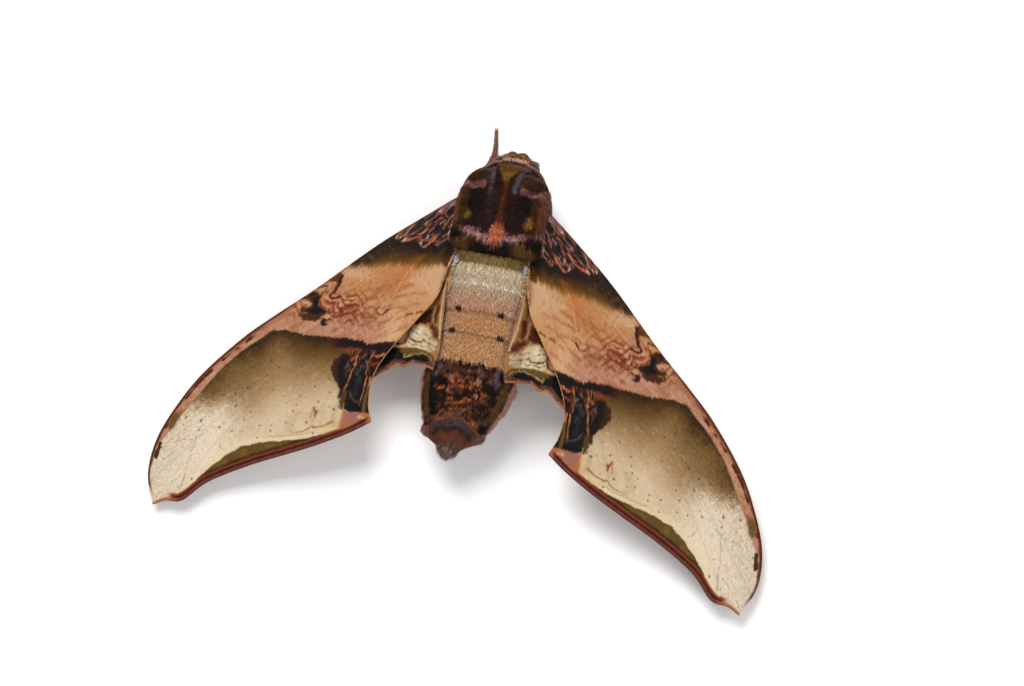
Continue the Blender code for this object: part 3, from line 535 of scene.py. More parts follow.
def make_piece(name, points, faces, material, paint=None, places=None):
    """An object from points in the moth's millimetres and faces of three or four corners each."""
    mesh = bpy.data.meshes.new(name)
    points = (np.asarray(points, float) + MODEL_SHIFT) * MM
    points[:, 2] = np.maximum(points[:, 2], 0.0)
    sizes = np.concatenate([np.full(len(group), group.shape[1]) for group in faces])
    corners = np.concatenate([group.ravel() for group in faces])
    mesh.vertices.add(len(points))
    mesh.vertices.foreach_set("co", points.ravel())
    mesh.loops.add(len(corners))
    mesh.loops.foreach_set("vertex_index", corners.astype(np.int32))
    mesh.polygons.add(len(sizes))
    mesh.polygons.foreach_set("loop_start", (np.cumsum(sizes) - sizes).astype(np.int32))
    if paint is not None:
        tones = np.ones((len(points), 4))
        tones[:, :3] = linear(paint)
        mesh.color_attributes.new("paint", "FLOAT_COLOR", "POINT").data.foreach_set("color",
            tones.ravel())
    if places is not None:
        mesh.uv_layers.new(name="OFBake").data.foreach_set("uv", places[corners].ravel())
    mesh.materials.append(material)
    mesh.update(calc_edges=True)
    mesh.validate()
    mesh.shade_smooth()
    piece = bpy.data.objects.new(name, mesh)
    bpy.context.scene.collection.objects.link(piece)
    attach(piece, "root")
    return piece


def net(rows, columns, first=0, ring=False):
    """Faces of a net of points, which may close on itself across its rows."""
    row, column = np.meshgrid(np.arange(rows - 1), np.arange(columns if ring else columns - 1),
        indexing="ij")
    after = (column + 1) % columns
    faces = (row * columns + column, (row + 1) * columns + column, (row + 1) * columns + after,
        row * columns + after)
    return first + np.stack(faces, -1).reshape(-1, 4)


body_finish = Finish("body scales", Roughness=0.78)
body_finish.shader.inputs["Specular IOR Level"].default_value = 0.12
body_paint = body_finish.node("Attribute", {"attribute_name": "paint"})
body_hair = body_finish.noise(body_finish.place((7.0, 1.1, 7.0)), 1.0, 3.0, 0.6)
body_tone = body_finish.mix(0.55 * body_hair.between(0.62, 0.38), body_paint, (0.30, 0.26, 0.22),
    "MULTIPLY")
body_material = body_finish.wear(
    Base_Color=body_tone,
    Roughness=0.68 + 0.2 * body_hair,
    Normal=body_finish.bump(body_hair, 0.6, 0.12),
)
body_y = BODY_SECTIONS[0, 0] + (BODY_SECTIONS[-1, 0] - BODY_SECTIONS[0, 0]) * np.linspace(0.0, 1.0,
    BODY_ROWS)
body_turn = np.arange(BODY_COLUMNS) / BODY_COLUMNS * 2 * math.pi - math.pi / 2
grid_y, grid_turn = np.meshgrid(body_y, body_turn, indexing="ij")
skin_at, skin_out, _ = body_frame(grid_y.ravel(), grid_turn.ravel())
skin_paint = paint_body(skin_at[:, 0], skin_at[:, 1], skin_out[:, 2])
ends = (np.arange(BODY_COLUMNS)[None, ::-1],
    (BODY_ROWS - 1) * BODY_COLUMNS + np.arange(BODY_COLUMNS)[None, :])
# The skin carries the body's colours darkened by SKIN_SHADE, a painted shade under the fur.
skin = make_piece(
    "body_skin", skin_at, [net(BODY_ROWS, BODY_COLUMNS, ring=True), ends[0], ends[1]], body_material,
    SKIN_SHADE * skin_paint,
)
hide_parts("head", "thorax", "abdomen", "tegula_left", "tegula_right")

# Fur of the body
# Hairs and hair-like scales grow from the whole skin and lie towards the tail: long on the thorax
# and the tail, short on the face. They carry the colours of the place they grow from.
chance = np.random.default_rng(71)
COATS = (
    ("coat_head", -13.2, -10.9, 0.55, 0.10, 24.0, 7000),
    ("coat_collar", -10.9, -6.4, 0.95, 0.13, 17.0, 16000),
    ("coat_thorax", -6.4, -1.8, 1.15, 0.13, 15.0, 16000),
    ("coat_thorax_hem", -1.8, 2.1, 1.30, 0.13, 20.0, 15000),
    ("coat_abdomen_front", 2.1, 10.0, 1.05, 0.10, 9.0, 17500),
    ("coat_abdomen_middle", 10.0, 18.2, 0.75, 0.10, 8.0, 17000),
    ("coat_abdomen_hind", 18.2, 25.5, 0.80, 0.11, 11.0, 17000),
    ("coat_tail", 25.5, 30.2, 0.90, 0.12, 15.0, 9500),
)


def grow_tufts(name, at, outward, along, length, width, lift, paint, places, material):
    """Thin bent tufts of hair, each a closed solid, from roots and their directions."""
    across = np.cross(outward, along)
    count = len(at)
    sway = chance.normal(0.0, 0.12, (count, 1))
    heading = along + sway * across
    heading /= np.linalg.norm(heading, axis=1, keepdims=True)
    across = np.cross(outward, heading)
    length = (length * chance.uniform(0.7, 1.2, count))[:, None]
    width = (width * chance.uniform(0.7, 1.25, count))[:, None]
    rise = np.radians(lift * chance.uniform(0.5, 1.6, count))[:, None]
    root = at - outward * 0.05
    middle = root + length * 0.5 * (heading * np.cos(rise * 1.5) + outward * np.sin(rise * 1.5))
    tip = middle + length * 0.5 * (heading * np.cos(rise * 0.35) + outward * np.sin(rise * 0.35))
    tip = tip + across * length * chance.normal(0.0, 0.08, (count, 1))
    points = np.stack((
        root - across * width * 0.4, root + across * width * 0.4, root + outward * width * 0.25,
        middle - across * width * 0.5, middle + across * width * 0.5, middle + outward * width * 0.3,
        tip,
    ), 1)
    corners = np.array(((0, 3, 1), (1, 3, 4), (1, 4, 2), (2, 4, 5), (2, 5, 0), (0, 5, 3), (3, 6, 4),
        (4, 6, 5), (5, 6, 3), (0, 1, 2)))
    faces = (corners[None] + 7 * np.arange(count)[:, None, None]).reshape(-1, 3)
    # painted shade at the root of each tuft and painted light at its tip, over a random tone for each
    # tuft
    shade = chance.uniform(0.9, 1.1, (count, 1, 1)) * np.array((0.9, 0.9, 0.92, 1.0, 1.0, 1.02,
        1.06))[None, :, None]
    tones = (paint[:, None, :] * shade).reshape(-1, 3)
    patch = np.array(((0.0, 0.0), (1.0, 0.0), (0.5, 0.3), (0.0, 0.6), (1.0, 0.6), (0.5, 0.8),
        (0.5, 1.0))) * 0.003
    spots = (places[:, None, :] + patch[None]).reshape(-1, 2)
    return make_piece(name, points.reshape(-1, 3), [faces], material, tones, spots)


fur_finish = Finish("fur", Roughness=0.7)
fur_finish.shader.inputs["Sheen Weight"].default_value = 0.02
fur_finish.shader.inputs["Specular IOR Level"].default_value = 0.08
fur_paint = fur_finish.node("Attribute", {"attribute_name": "paint"})
fur_grain = fur_finish.noise(fur_finish.place(), 6.0)
fur_material = fur_finish.wear(
    Base_Color=fur_finish.mix(0.25 * fur_grain, fur_paint, (0.5, 0.46, 0.42), "MULTIPLY"),
    Roughness=0.6 + 0.25 * fur_grain,
)


def body_roots(first, last, count):
    """Places spread evenly over a stretch of the skin."""
    tries = count * 3
    y = chance.uniform(first, last, tries)
    angle = chance.uniform(-math.pi / 2, 1.5 * math.pi, tries)
    small = 0.02
    ahead = body_point(y + small, angle) - body_point(y - small, angle)
    around = body_point(y, angle + small) - body_point(y, angle - small)
    area = np.linalg.norm(np.cross(ahead, around), axis=1)
    keep = chance.uniform(0.0, 1.0, tries) < area / np.percentile(area,
        97) * (0.45 + 0.55 * (np.sin(angle) > -0.35))
    return y[keep][:count], angle[keep][:count]


for coat_name, first, last, hair_length, hair_width, lift, count in COATS:
    root_y, root_angle = body_roots(first, last, count)
    at, outward, along = body_frame(root_y, root_angle)
    hair = hair_length * (0.55 + 0.45 * soft(-0.8, 0.1, outward[:, 2]))
    hair = hair * (1.0 + 0.35 * hump(root_y, 0.0, 0.6) + 0.6 * hump(root_y, 3.2, 1.5) + 0.9
        * soft(28.6, 30.0, root_y))
    ahead = at + along * hair[:, None] * 0.55
    tone = paint_body(ahead[:, 0], ahead[:, 1] + 0.06 * chance.normal(size=len(at)), outward[:, 2])
    side = np.exp(-(np.minimum(np.abs(root_angle), np.abs(root_angle - math.pi)) / 0.35) ** 2)
    raised = lift + 16.0 * side * soft(18.0, 20.0, root_y)
    places = np.stack((0.05 + 0.88 * (root_angle + math.pi / 2) / (2 * math.pi),
        0.02 + 0.94 * (root_y - first) / (last - first)), -1)
    coat = grow_tufts(coat_name, at, outward, along, hair, hair_width, raised, tone, places, fur_material)

# A brush of longer hair stands out over the face, brown-ochre in front and cream behind.
BRUSH_HAIRS = 1500
root_y = chance.uniform(-13.1, -12.2, BRUSH_HAIRS)
root_angle = chance.uniform(0.1 * math.pi, 0.9 * math.pi, BRUSH_HAIRS)
at, outward, along = body_frame(root_y, root_angle)
front = soft(-12.6, -12.85, root_y + 0.1 * chance.normal(size=BRUSH_HAIRS))[:, None]
tone = front * np.array((112, 74, 38)) + (1.0 - front) * np.array((184, 138, 112))
tone = np.where(chance.uniform(size=(BRUSH_HAIRS, 1)) < 0.18, (70, 44, 30), tone)
places = np.stack((0.05 + 0.88 * root_angle / math.pi, 0.05 + 0.9 * (root_y + 13.1) / 0.9), -1)
brush = grow_tufts("coat_brush", at, outward, -along, 0.85, 0.12, 20.0, tone, places, fur_material)

# Short brown hair makes a crest over the palps and hangs over the upper half of each eye.
for crest_name, count, left, right, front, back, high, reach, lean in (
    ("coat_crest", 1100, -2.3, 1.5, -13.75, -12.8, 10.1, 0.62, (0.0, -0.6, 0.3)),
    ("coat_brow_left", 700, 0.9, 2.3, -13.15, -11.6, 10.05, 0.95, (0.8, -0.3, -0.36)),
    ("coat_brow_right", 700, -3.1, -1.7, -13.15, -11.6, 10.05, 0.95, (-0.8, -0.3, -0.36)),
):
    root_x, root_y = chance.uniform(left, right, count), chance.uniform(front, back, count)
    root_y = np.maximum(root_y, front + 0.16 * (root_x - (left + right) / 2) ** 2)
    at = np.stack((root_x, root_y, high - 0.2 * (root_x + 0.4) ** 2 - 0.35 * (root_y + 12.6) ** 2), 1)
    lean = np.array(lean) + 0.24 * chance.normal(size=(count, 3))
    lean /= np.linalg.norm(lean, axis=1, keepdims=True)
    outward = np.array((0.0, 0.0, 1.0)) - lean * lean[:, 2:3]
    outward /= np.linalg.norm(outward, axis=1, keepdims=True)
    patch_tone = grain(root_x, root_y, 0.6, 75)[:, None]
    tone = np.where(patch_tone < -0.1, (104, 66, 34), (134, 90, 52))
    tone = np.where(patch_tone > 0.45, (166, 120, 96), tone)
    tone = np.where(chance.uniform(size=(count, 1)) < 0.22, (66, 38, 24), tone)
    if "brow" in crest_name:
        tone = 0.5 * tone + 0.5 * np.array((104, 66, 54))
    places = np.stack((0.05 + 0.88 * (root_x - left) / (right - left),
        0.05 + 0.9 * (root_y - front) / (back - front)), -1)
    crest = grow_tufts(crest_name, at, outward, lean, reach, 0.12, 8.0, tone, places, fur_material)

# Hair of the body's sides hangs over the roots of the wings, with a pale lilac row at each corner.
for side_name, sign in SIDES:
    count = 1300
    root_y = chance.uniform(0.6, 9.5, count)
    root_angle = chance.uniform(-0.15, 0.6, count)
    at, outward, along = body_frame(root_y, root_angle if sign > 0 else math.pi - root_angle)
    lean = 0.8 * outward + 0.6 * along + 0.1 * chance.normal(size=(count, 3))
    lean /= np.linalg.norm(lean, axis=1, keepdims=True)
    upward = np.array((0.0, 0.0, 1.0)) - lean * lean[:, 2:3]
    upward /= np.linalg.norm(upward, axis=1, keepdims=True)
    tone = ramp(root_y + 0.3 * chance.normal(size=count), (0.8, 1.8, 2.6, 4.5, 9.0), (
        (84, 58, 30), (128, 96, 54), (184, 150, 112), (206, 166, 118), (196, 150, 106)))
    corner_row = (root_y < 4.0) & (root_angle > 0.3) & (root_y > 1.7)
    tone = np.where(corner_row[:, None], (204, 186, 188), tone)
    reach = level(root_y, ((0.6, 1.0), (2.0, 1.5), (6.0, 1.3), (9.5, 0.6)))
    places = np.stack((0.05 + 0.88 * (root_angle + 0.15) / 0.75, 0.05 + 0.9 * (root_y - 0.6) / 8.9), -1)
    hair = grow_tufts("coat_shoulder_" + side_name, at, upward, lean, reach, 0.11, 5.0, tone, places,
        fur_material)

# Eyes
# Two domed compound eyes sit low on the sides of the head, each a dark, glossy shell with facets.
EYE_RADII = (1.45, 1.45, 1.7)
EYE_OFFSET = (2.15, -0.75, -0.1)
eye_finish = Finish("eye", Roughness=0.2)
eye_finish.shader.inputs["Specular IOR Level"].default_value = 0.14
eye_cells = eye_finish.node("TexVoronoi", {"feature": "SMOOTH_F1"}, eye_finish.place(), Scale=9.0,
    Smoothness=0.3)
eye_cloud = eye_finish.noise(eye_finish.place(), 0.9)
eye_material = eye_finish.wear(
    Base_Color=eye_finish.mix(eye_cloud.between(0.35, 0.7), (0.010, 0.006, 0.005), (0.05, 0.022, 0.012)),
    Roughness=0.28 + 0.14 * eye_cells,
    Normal=eye_finish.bump(1.0 - eye_cells, 0.35, 0.03),
)
EYE_ROWS, EYE_COLUMNS = 48, 72
polar, turn = np.meshgrid(np.linspace(0.02, math.pi - 0.02, EYE_ROWS),
    np.arange(EYE_COLUMNS) / EYE_COLUMNS * 2 * math.pi, indexing="ij")
ball = np.stack((np.sin(polar) * np.cos(turn), np.sin(polar) * np.sin(turn), np.cos(polar)),
    -1).reshape(-1, 3)
for side_name, sign in SIDES:
    eye_at = np.array(HEAD) + np.array(EYE_OFFSET) * (sign, 1.0, 1.0)
    caps = [np.arange(EYE_COLUMNS)[None, ::-1],
        (EYE_ROWS - 1) * EYE_COLUMNS + np.arange(EYE_COLUMNS)[None]]
    eye = make_piece("eyeball_" + side_name, ball * EYE_RADII + eye_at,
        [net(EYE_ROWS, EYE_COLUMNS, ring=True), *caps], eye_material)
    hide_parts("eye_" + side_name)

# Antennae
# A feeler of some fifty short rings rises beside each eye, turns back and lies along the flank
# under the forewing. It is rosy brown, with painted light on its upper side and painted shade
# below, and tapers to a thin end.
ANTENNA_PATH = ((1.6, -12.3, 10.9), (2.9, -12.1, 10.2), (4.0, -11.4, 8.7), (4.9, -10.0, 7.2),
    (5.9, -8.0, 6.3), (6.4, -5.0, 6.2), (6.7, -2.0, 6.3), (6.9, 0.8, 6.4))
ANTENNA_RADII = (0.26, 0.32, 0.36, 0.38, 0.38, 0.36, 0.30, 0.12)
ANTENNA_STEP, ANTENNA_RING = 0.09, 0.34
antenna_finish = Finish("feeler scales", Roughness=0.6)
antenna_up = antenna_finish.node("SeparateXYZ", {}, antenna_finish.node("NewGeometry", {}, out="Normal"),
    out=2)
antenna_grain = antenna_finish.noise(antenna_finish.place(), 7.0)
# painted light and shade: one brown, twice as light where the surface faces up
antenna_painted_shading = antenna_finish.mix(antenna_up.between(-0.4, 0.6), (0.07, 0.025, 0.015),
    (0.14, 0.05, 0.028))
antenna_material = antenna_finish.wear(
    Base_Color=antenna_finish.mix(0.5 * antenna_grain, antenna_painted_shading, (0.5, 0.4, 0.35), "MULTIPLY"),
    Roughness=0.5 + 0.3 * antenna_grain,
    Normal=antenna_finish.bump(antenna_grain, 0.4, 0.05),
)


def smooth_path(knots, step):
    """Points about one step apart on a smooth curve through knots of any size."""
    knots = np.asarray(knots, float)
    gaps = np.linalg.norm(np.diff(knots[:, :3], axis=0), axis=1)
    ends = np.concatenate(((2 * knots[0] - knots[1])[None], knots, (2 * knots[-1] - knots[-2])[None]))
    found = [knots[0]]
    for slot in range(1, len(ends) - 2):
        before, start, stop, after = ends[slot - 1:slot + 3]
        count = max(1, round(gaps[slot - 1] / step))
        for t in np.arange(1, count + 1) / count:
            bend = 2 * start + (stop - before) * t + (2 * before - 5 * start + 4 * stop - after) * t ** 2
            found.append(0.5 * (bend + (3 * start - before - 3 * stop + after) * t ** 3))
    return np.array(found)


def tube_frame(path):
    """Direction along a path at each point, and two directions square to it that don't twist."""
    along = np.gradient(path, axis=0)
    along /= np.linalg.norm(along, axis=1, keepdims=True)
    side = np.cross(along[0], (0.0, 0.0, 1.0) if abs(along[0][2]) < 0.9 else (1.0, 0.0, 0.0))
    sides = []
    for direction in along:
        side = side - direction * np.dot(side, direction)
        side = side / np.linalg.norm(side)
        sides.append(side)
    sides = np.array(sides)
    return along, sides, np.cross(along, sides)


def make_tube(name, path, radii, material, columns=20, flatten=1.0, paint=None):
    """A closed tube round a path, with a radius at each of its points."""
    _, side, up = tube_frame(path)
    turn = np.arange(columns) / columns * 2 * math.pi
    ring = np.cos(turn)[None, :, None] * side[:, None] + flatten * np.sin(turn)[None, :, None] * up[:,
        None]
    points = (path[:, None] + ring * np.asarray(radii)[:, None, None]).reshape(-1, 3)
    caps = [np.arange(columns)[None, ::-1], (len(path) - 1) * columns + np.arange(columns)[None]]
    return make_piece(name, points, [net(len(path), columns, ring=True), *caps], material, paint)


for side_name, sign in SIDES:
    knots = [(HEAD[0] * (1.0 - i / 7.0) + sign * x, y, z, radius) for i,
        ((x, y, z), radius) in enumerate(zip(ANTENNA_PATH, ANTENNA_RADII))]
    line = smooth_path(knots, ANTENNA_STEP)
    rings = np.arange(len(line)) * ANTENNA_STEP / ANTENNA_RING
    radii = line[:, 3] * (0.86 + 0.14 * np.abs(np.sin(rings * math.pi)) ** 0.5)
    antenna = make_tube("feeler_" + side_name, line[:, :3], radii, antenna_material, 18)
    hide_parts("antenna_" + side_name)

# Palps and proboscis
# Two thick, scaled palps curve up in front of the face, and the long tongue lies coiled between
# their feet, an amber tube of many fine rings.
PALP_PATH = ((0.95, -12.9, 5.75, 0.34), (1.0, -13.75, 6.7, 0.55), (0.85, -13.85, 8.2, 0.66),
    (0.7, -13.6, 9.6, 0.56), (0.6, -13.2, 10.3, 0.3))
# PALP_SHADE darkens the palp's core under its hair: a painted shade.
PALP_TONE, PALP_SHADE = (150, 104, 84), 0.7
PALP_HAIRS, PALP_COLUMNS = 1500, 20
for side_name, sign in SIDES:
    line = smooth_path([(HEAD[0] + sign * x, y, z, radius) for x, y, z, radius in PALP_PATH], 0.12)
    palp = make_tube("palp_core_" + side_name, line[:, :3], line[:, 3], body_material, PALP_COLUMNS,
        paint=np.tile(PALP_TONE, (len(line) * PALP_COLUMNS, 1)) * PALP_SHADE)
    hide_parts("palp_" + side_name)
    along, across, up = tube_frame(line[:, :3])
    pick = chance.integers(1, len(line) - 1, PALP_HAIRS)
    turn = chance.uniform(0.0, 2 * math.pi, (PALP_HAIRS, 1))
    outward = np.cos(turn) * across[pick] + np.sin(turn) * up[pick]
    at = line[pick, :3] + outward * line[pick, 3:4]
    tone = ramp(at[:, 2] + 0.5 * chance.normal(size=PALP_HAIRS), (6.0, 8.0, 9.6, 10.6),
        ((126, 72, 52), (150, 98, 72), (168, 118, 80), (140, 98, 56)))
    places = np.stack((0.05 + 0.85 * turn[:, 0] / (2 * math.pi), 0.05 + 0.85 * pick / len(line)), -1)
    coat = grow_tufts("palp_coat_" + side_name, at, outward, along[pick], 0.42, 0.1, 16.0, tone, places,
        fur_material)

tongue_finish = Finish("tongue", Roughness=0.35)
tongue_rings = tongue_finish.node("TexWave", {"wave_type": "RINGS"}, tongue_finish.place(), Scale=2.2,
    Distortion=0.4)
tongue_material = tongue_finish.wear(
    Base_Color=tongue_finish.mix(tongue_rings, (0.16, 0.06, 0.02), (0.34, 0.15, 0.06)),
    Normal=tongue_finish.bump(tongue_rings, 0.4, 0.03),
)
COIL_CENTRE, COIL_START = (-0.4, -12.7, 4.75), (-0.4, -12.15, 5.75)
COIL_STEPS = 90
coil_along = np.linspace(0.0, 12.5, COIL_STEPS)
coil_turn = np.radians(50.0 + 26.0 * coil_along)
coil_reach = 0.95 - 0.045 * coil_along
coil = np.stack((np.full(COIL_STEPS, COIL_CENTRE[0]), COIL_CENTRE[1] + coil_reach * np.cos(coil_turn),
    COIL_CENTRE[2] + coil_reach * np.sin(coil_turn)), 1)
coil = np.concatenate((np.linspace(COIL_START, coil[0], 6)[:-1], coil))
coil_radii = np.linspace(0.26, 0.15, len(coil)) * (0.95 + 0.05 * np.cos(np.arange(len(coil)) * math.pi))
tongue = make_tube("tongue", coil, coil_radii, tongue_material, 16)
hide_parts("proboscis")

# Legs
# Each leg is a bent tube under short red-brown scales, from a hip on the thorax's underside: a thick
# thigh, a shin, and a foot of five short joints with two claws. Middle and hind shins bear spurs.
LEG_PATHS = {
    "foreleg_left": ((5.1, -10.6, 4.6), (4.6, -12.4, 2.9), (4.3, -14.4, 0.85), (4.3, -16.2, 0.38),
        (4.7, -19.0, 0.36)),
    "foreleg_right": ((-4.9, -9.7, 3.8), (-4.9, -9.0, 2.2), (-4.8, -8.0, 0.8), (-4.7, -7.0, 0.38),
        (-4.6, -4.6, 0.36)),
    "midleg_left": ((8.0, -4.6, 6.0), (9.6, -3.4, 4.2), (10.3, -1.6, 0.8), (10.5, -0.4, 0.3),
        (10.7, 2.4, 0.28)),
    "midleg_right": ((-8.0, -4.6, 6.0), (-9.6, -3.4, 4.2), (-10.3, -1.6, 0.8), (-10.5, -0.4, 0.3),
        (-10.7, 2.4, 0.28)),
    "hindleg_left": ((7.8, 3.0, 5.2), (8.6, 7.0, 3.6), (8.9, 11.4, 0.8), (8.9, 12.8, 0.3),
        (8.6, 16.6, 0.28)),
    "hindleg_right": ((-7.8, 3.0, 5.2), (-8.6, 7.0, 3.6), (-8.9, 11.4, 0.8), (-8.9, 12.8, 0.3),
        (-8.6, 16.6, 0.28)),
}
LEG_HIPS = {"foreleg": (-8.3, 52.0), "midleg": (-5.2, 48.0), "hindleg": (-1.2, 50.0)}
LEG_RADII = (1.0, 0.95, 0.74, 0.50, 0.46, 0.36, 0.26)
LEG_HAIRS = 1500
leg_finish = Finish("leg scales", Roughness=0.62)
leg_grain = leg_finish.noise(leg_finish.place(), 5.0, 3.0)
leg_rows = leg_finish.node("TexVoronoi", {}, leg_finish.place(), Scale=8.0)
leg_tone = leg_finish.mix(leg_grain.between(0.35, 0.68), (0.085, 0.026, 0.015), (0.22, 0.085, 0.045))
leg_material = leg_finish.wear(
    Base_Color=leg_finish.mix(0.5 * leg_rows, leg_tone, (0.42, 0.32, 0.28), "MULTIPLY"),
    Roughness=0.5 + 0.35 * leg_grain,
    Normal=leg_finish.bump(leg_rows, 0.5, 0.05),
)
for leg_name, knots in LEG_PATHS.items():
    kind, side_name = leg_name.split("_")
    hip_y, hip_angle = LEG_HIPS[kind]
    sign = 1.0 if side_name == "left" else -1.0
    hip, hip_out, _ = (part[0] for part in body_frame(np.array([hip_y]),
        np.array([-math.radians(hip_angle)])))
    hip[0] *= sign
    hip_out[0] *= sign
    path = [hip - hip_out * 0.3, hip + hip_out * 1.3, *[np.array(knot) for knot in knots]]
    line = smooth_path([(*point, radius) for point, radius in zip(path, LEG_RADII)], 0.1)
    bends = [int(np.argmin(np.linalg.norm(line[:, :3] - point, axis=1))) for point in path]
    swell = np.ones(len(line))
    for joint in (bends[1], bends[2], bends[3], bends[4]):
        swell += 0.10 * hump(np.arange(len(line)), joint, 3.0) - 0.20 * hump(np.arange(len(line)),
            joint + 4.5, 2.0)
    foot = np.clip((np.arange(len(line)) - bends[4]) / (len(line) - bends[4]), 0.0, 1.0)
    swell *= 1.0 - 0.24 * soft(0.0, 0.02, foot) * np.abs(np.cos(foot * 5 * math.pi)) ** 6
    radii = line[:, 3] * swell
    resting = line[:, :3].copy()
    resting[:, 2] = np.maximum(resting[:, 2], radii * 0.96)
    leg = make_tube("limb_" + leg_name, resting, radii, leg_material, 18)
    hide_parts(leg_name)
    along, across, up = tube_frame(resting)
    count = LEG_HAIRS
    pick = chance.integers(bends[1], len(line) - 3, count)
    turn = chance.uniform(0.0, 2 * math.pi, (count, 1))
    outward = np.cos(turn) * across[pick] + np.sin(turn) * up[pick]
    at = resting[pick] + outward * radii[pick][:, None]
    above = at[:, 2] > 0.12
    tone = np.where(chance.uniform(size=(count, 1)) < 0.3, (150, 88, 64),
        (98, 48, 34)) * chance.uniform(0.8, 1.15, (count, 1))
    places = np.stack((0.05 + 0.85 * turn[:, 0] / (2 * math.pi), 0.05 + 0.85 * pick / len(line)), -1)
    size = 0.42 - 0.24 * foot[pick]
    coat = grow_tufts("limb_coat_" + leg_name, at[above], outward[above], along[pick][above], size[above],
        (0.09 - 0.03 * foot[pick])[above], 13.0, tone[above], places[above], fur_material)
    for claw_side in (-1.0, 1.0):
        tip, ahead = resting[-1], along[-1]
        out_way = across[-1] * claw_side
        down = np.array((0.0, 0.0, -1.0))
        hook = [(*(tip - ahead * 0.1), 0.09),
            (*(tip + ahead * 0.25 + out_way * 0.16 - down * 0.05), 0.075),
            (*(tip + ahead * 0.45 + out_way * 0.24 + down * 0.08), 0.05),
            (*(tip + ahead * 0.5 + out_way * 0.27 + down * 0.22), 0.02)]
        hook = smooth_path(hook, 0.05)
        claw = make_tube("claw_%s_%s" % (leg_name, "outer" if claw_side > 0 else "inner"), hook[:, :3],
            hook[:, 3], tongue_material, 10)
    if kind != "foreleg":
        for spur_side in (-1.0, 1.0):
            at, ahead = resting[bends[4] - 6], along[bends[4] - 6]
            out_way = across[bends[4]] * spur_side
            spike = smooth_path([(*(at + out_way * 0.2), 0.12),
                (*(at + out_way * 0.5 + ahead * 0.5), 0.1), (*(at + out_way * 0.6 + ahead * 1.3), 0.03)],
                0.1)
            spike[:, 2] = np.maximum(spike[:, 2], spike[:, 3])
            spur = make_tube("spur_%s_%s" % (leg_name, "outer" if spur_side > 0 else "inner"),
                spike[:, :3], spike[:, 3], leg_material, 12)

# Hindwings
# Thin leathery sheets stiffened by veins, under the forewings and over the sides of the abdomen.
# Only a folded strip beside the abdomen shows from above, cream and brown with a scalloped hem.
WINGS = {"left": (1.0, math.radians(14.0)), "right": (-1.0, math.radians(12.6))}
HINGE_X, HINGE_Z, WING_SPACING = 5.5, 10.5, 1.35
HINDWING_COSTA = ((5.6, -1.4), (8.6, -0.8), (14.0, 5.0), (20.0, 12.0), (24.0, 18.0))
HINDWING_TRAIL = ((5.4, 1.2), (6.6, 2.2), (6.1, 4.8), (5.5, 8.0), (5.0, 13.0), (4.7, 16.4), (4.9, 18.0),
    (5.3, 19.5), (7.0, 19.0), (8.8, 18.65), (10.0, 19.4), (11.3, 19.25), (13.0, 20.4), (16.0, 22.4),
    (20.0, 22.2), (24.0, 18.0))
HINDWING_VEINS = (
    ((8.8, 0.6), (14, 6.4), (19.4, 12.6), (22.9, 17.7)),  # costal
    ((8.6, 1.6), (13, 8), (17.6, 14.6), (20.6, 20.8)),  # radial
    ((11.8, 7.6), (14.6, 14), (16.6, 21.4)),  # medial
    ((8.3, 2.6), (10.6, 8), (12.8, 14.4), (14.2, 20.4)),  # cubital 1
    ((10.2, 9), (11.2, 13.8), (11.9, 18.6)),  # cubital 2
    ((7.7, 3.6), (8.4, 8), (9, 13), (9.5, 18.2)),  # anal 1
    ((7, 4.6), (6.8, 9), (6.7, 14), (6.8, 18.2)),  # anal 2
)


def smooth_line(points, step):
    """A smooth line through points, as a tuple of places."""
    return tuple(map(tuple, smooth_path(np.array([(u, v, 0.0) for u, v in points]), step)[:, :2]))


def wing_height(u, v, droop, over):
    """Height of the middle of a wing, which lies over the side of the abdomen near the body."""
    root = 1.2 * np.exp(-((u - HINGE_X) / 4.0) ** 2)
    flat = HINGE_Z - math.sin(droop) * (u - HINGE_X) + root + 0.7 * soft(34.0, 46.0, u) - WING_SPACING
    knots = BODY_SECTIONS[:, 0]
    shift, half, low, high = (curve_value(v, knots, BODY_SECTIONS[:, item]) for item in (1, 2, 3, 4))
    grow = 0.72
    body = np.full(u.shape, -np.inf)
    for side_x in (u, -u):
        part = np.abs(side_x - shift) / (half + grow)
        top = ((high - low) / 2 + grow) * np.clip(1.0 - np.minimum(part, 1.0) ** SECTION_POWER, 0.0,
            1.0) ** (1.0 / SECTION_POWER)
        body = np.maximum(body, (low + high) / 2 + np.where(part < 1.0, top, -np.abs(side_x - shift)))
    near = np.clip(1.0 - np.abs(flat - body), 0.0, 1.0)
    rest = np.maximum(flat, body) + near ** 3 / 6.0
    return flat + (rest - flat) * soft(1.5, 5.0, v) + over


def even_line(line, count):
    """Places at even distances along a line."""
    line = np.array(line)
    along = np.concatenate(((0.0,), np.cumsum(np.linalg.norm(np.diff(line, axis=0), axis=1))))
    at = np.linspace(0.0, along[-1], count)
    return np.stack((np.interp(at, along, line[:, 0]), np.interp(at, along, line[:, 1])), -1)


def wing_net(costa, trail, rows, columns):
    """Places (u, v) of a net that runs from the root to the tip and from the front to the hind edge."""
    front, back = even_line(costa, rows), even_line(trail, rows)
    part = np.linspace(0.0, 1.0, columns)
    part = 0.5 * (part + soft(0.0, 1.0, part))
    return front[:, None] * (1.0 - part[None, :, None]) + back[:, None] * part[None, :, None]


def vein_relief(u, v, veins, width):
    """Ridges over the veins, and a slight hollow between them."""
    near = np.full(u.shape, 9.0)
    for line in veins:
        near = np.minimum(near, to_line(u, v, line))
    return np.exp(-(near / width) ** 2) - 0.35 * soft(0.3, 2.2, near)


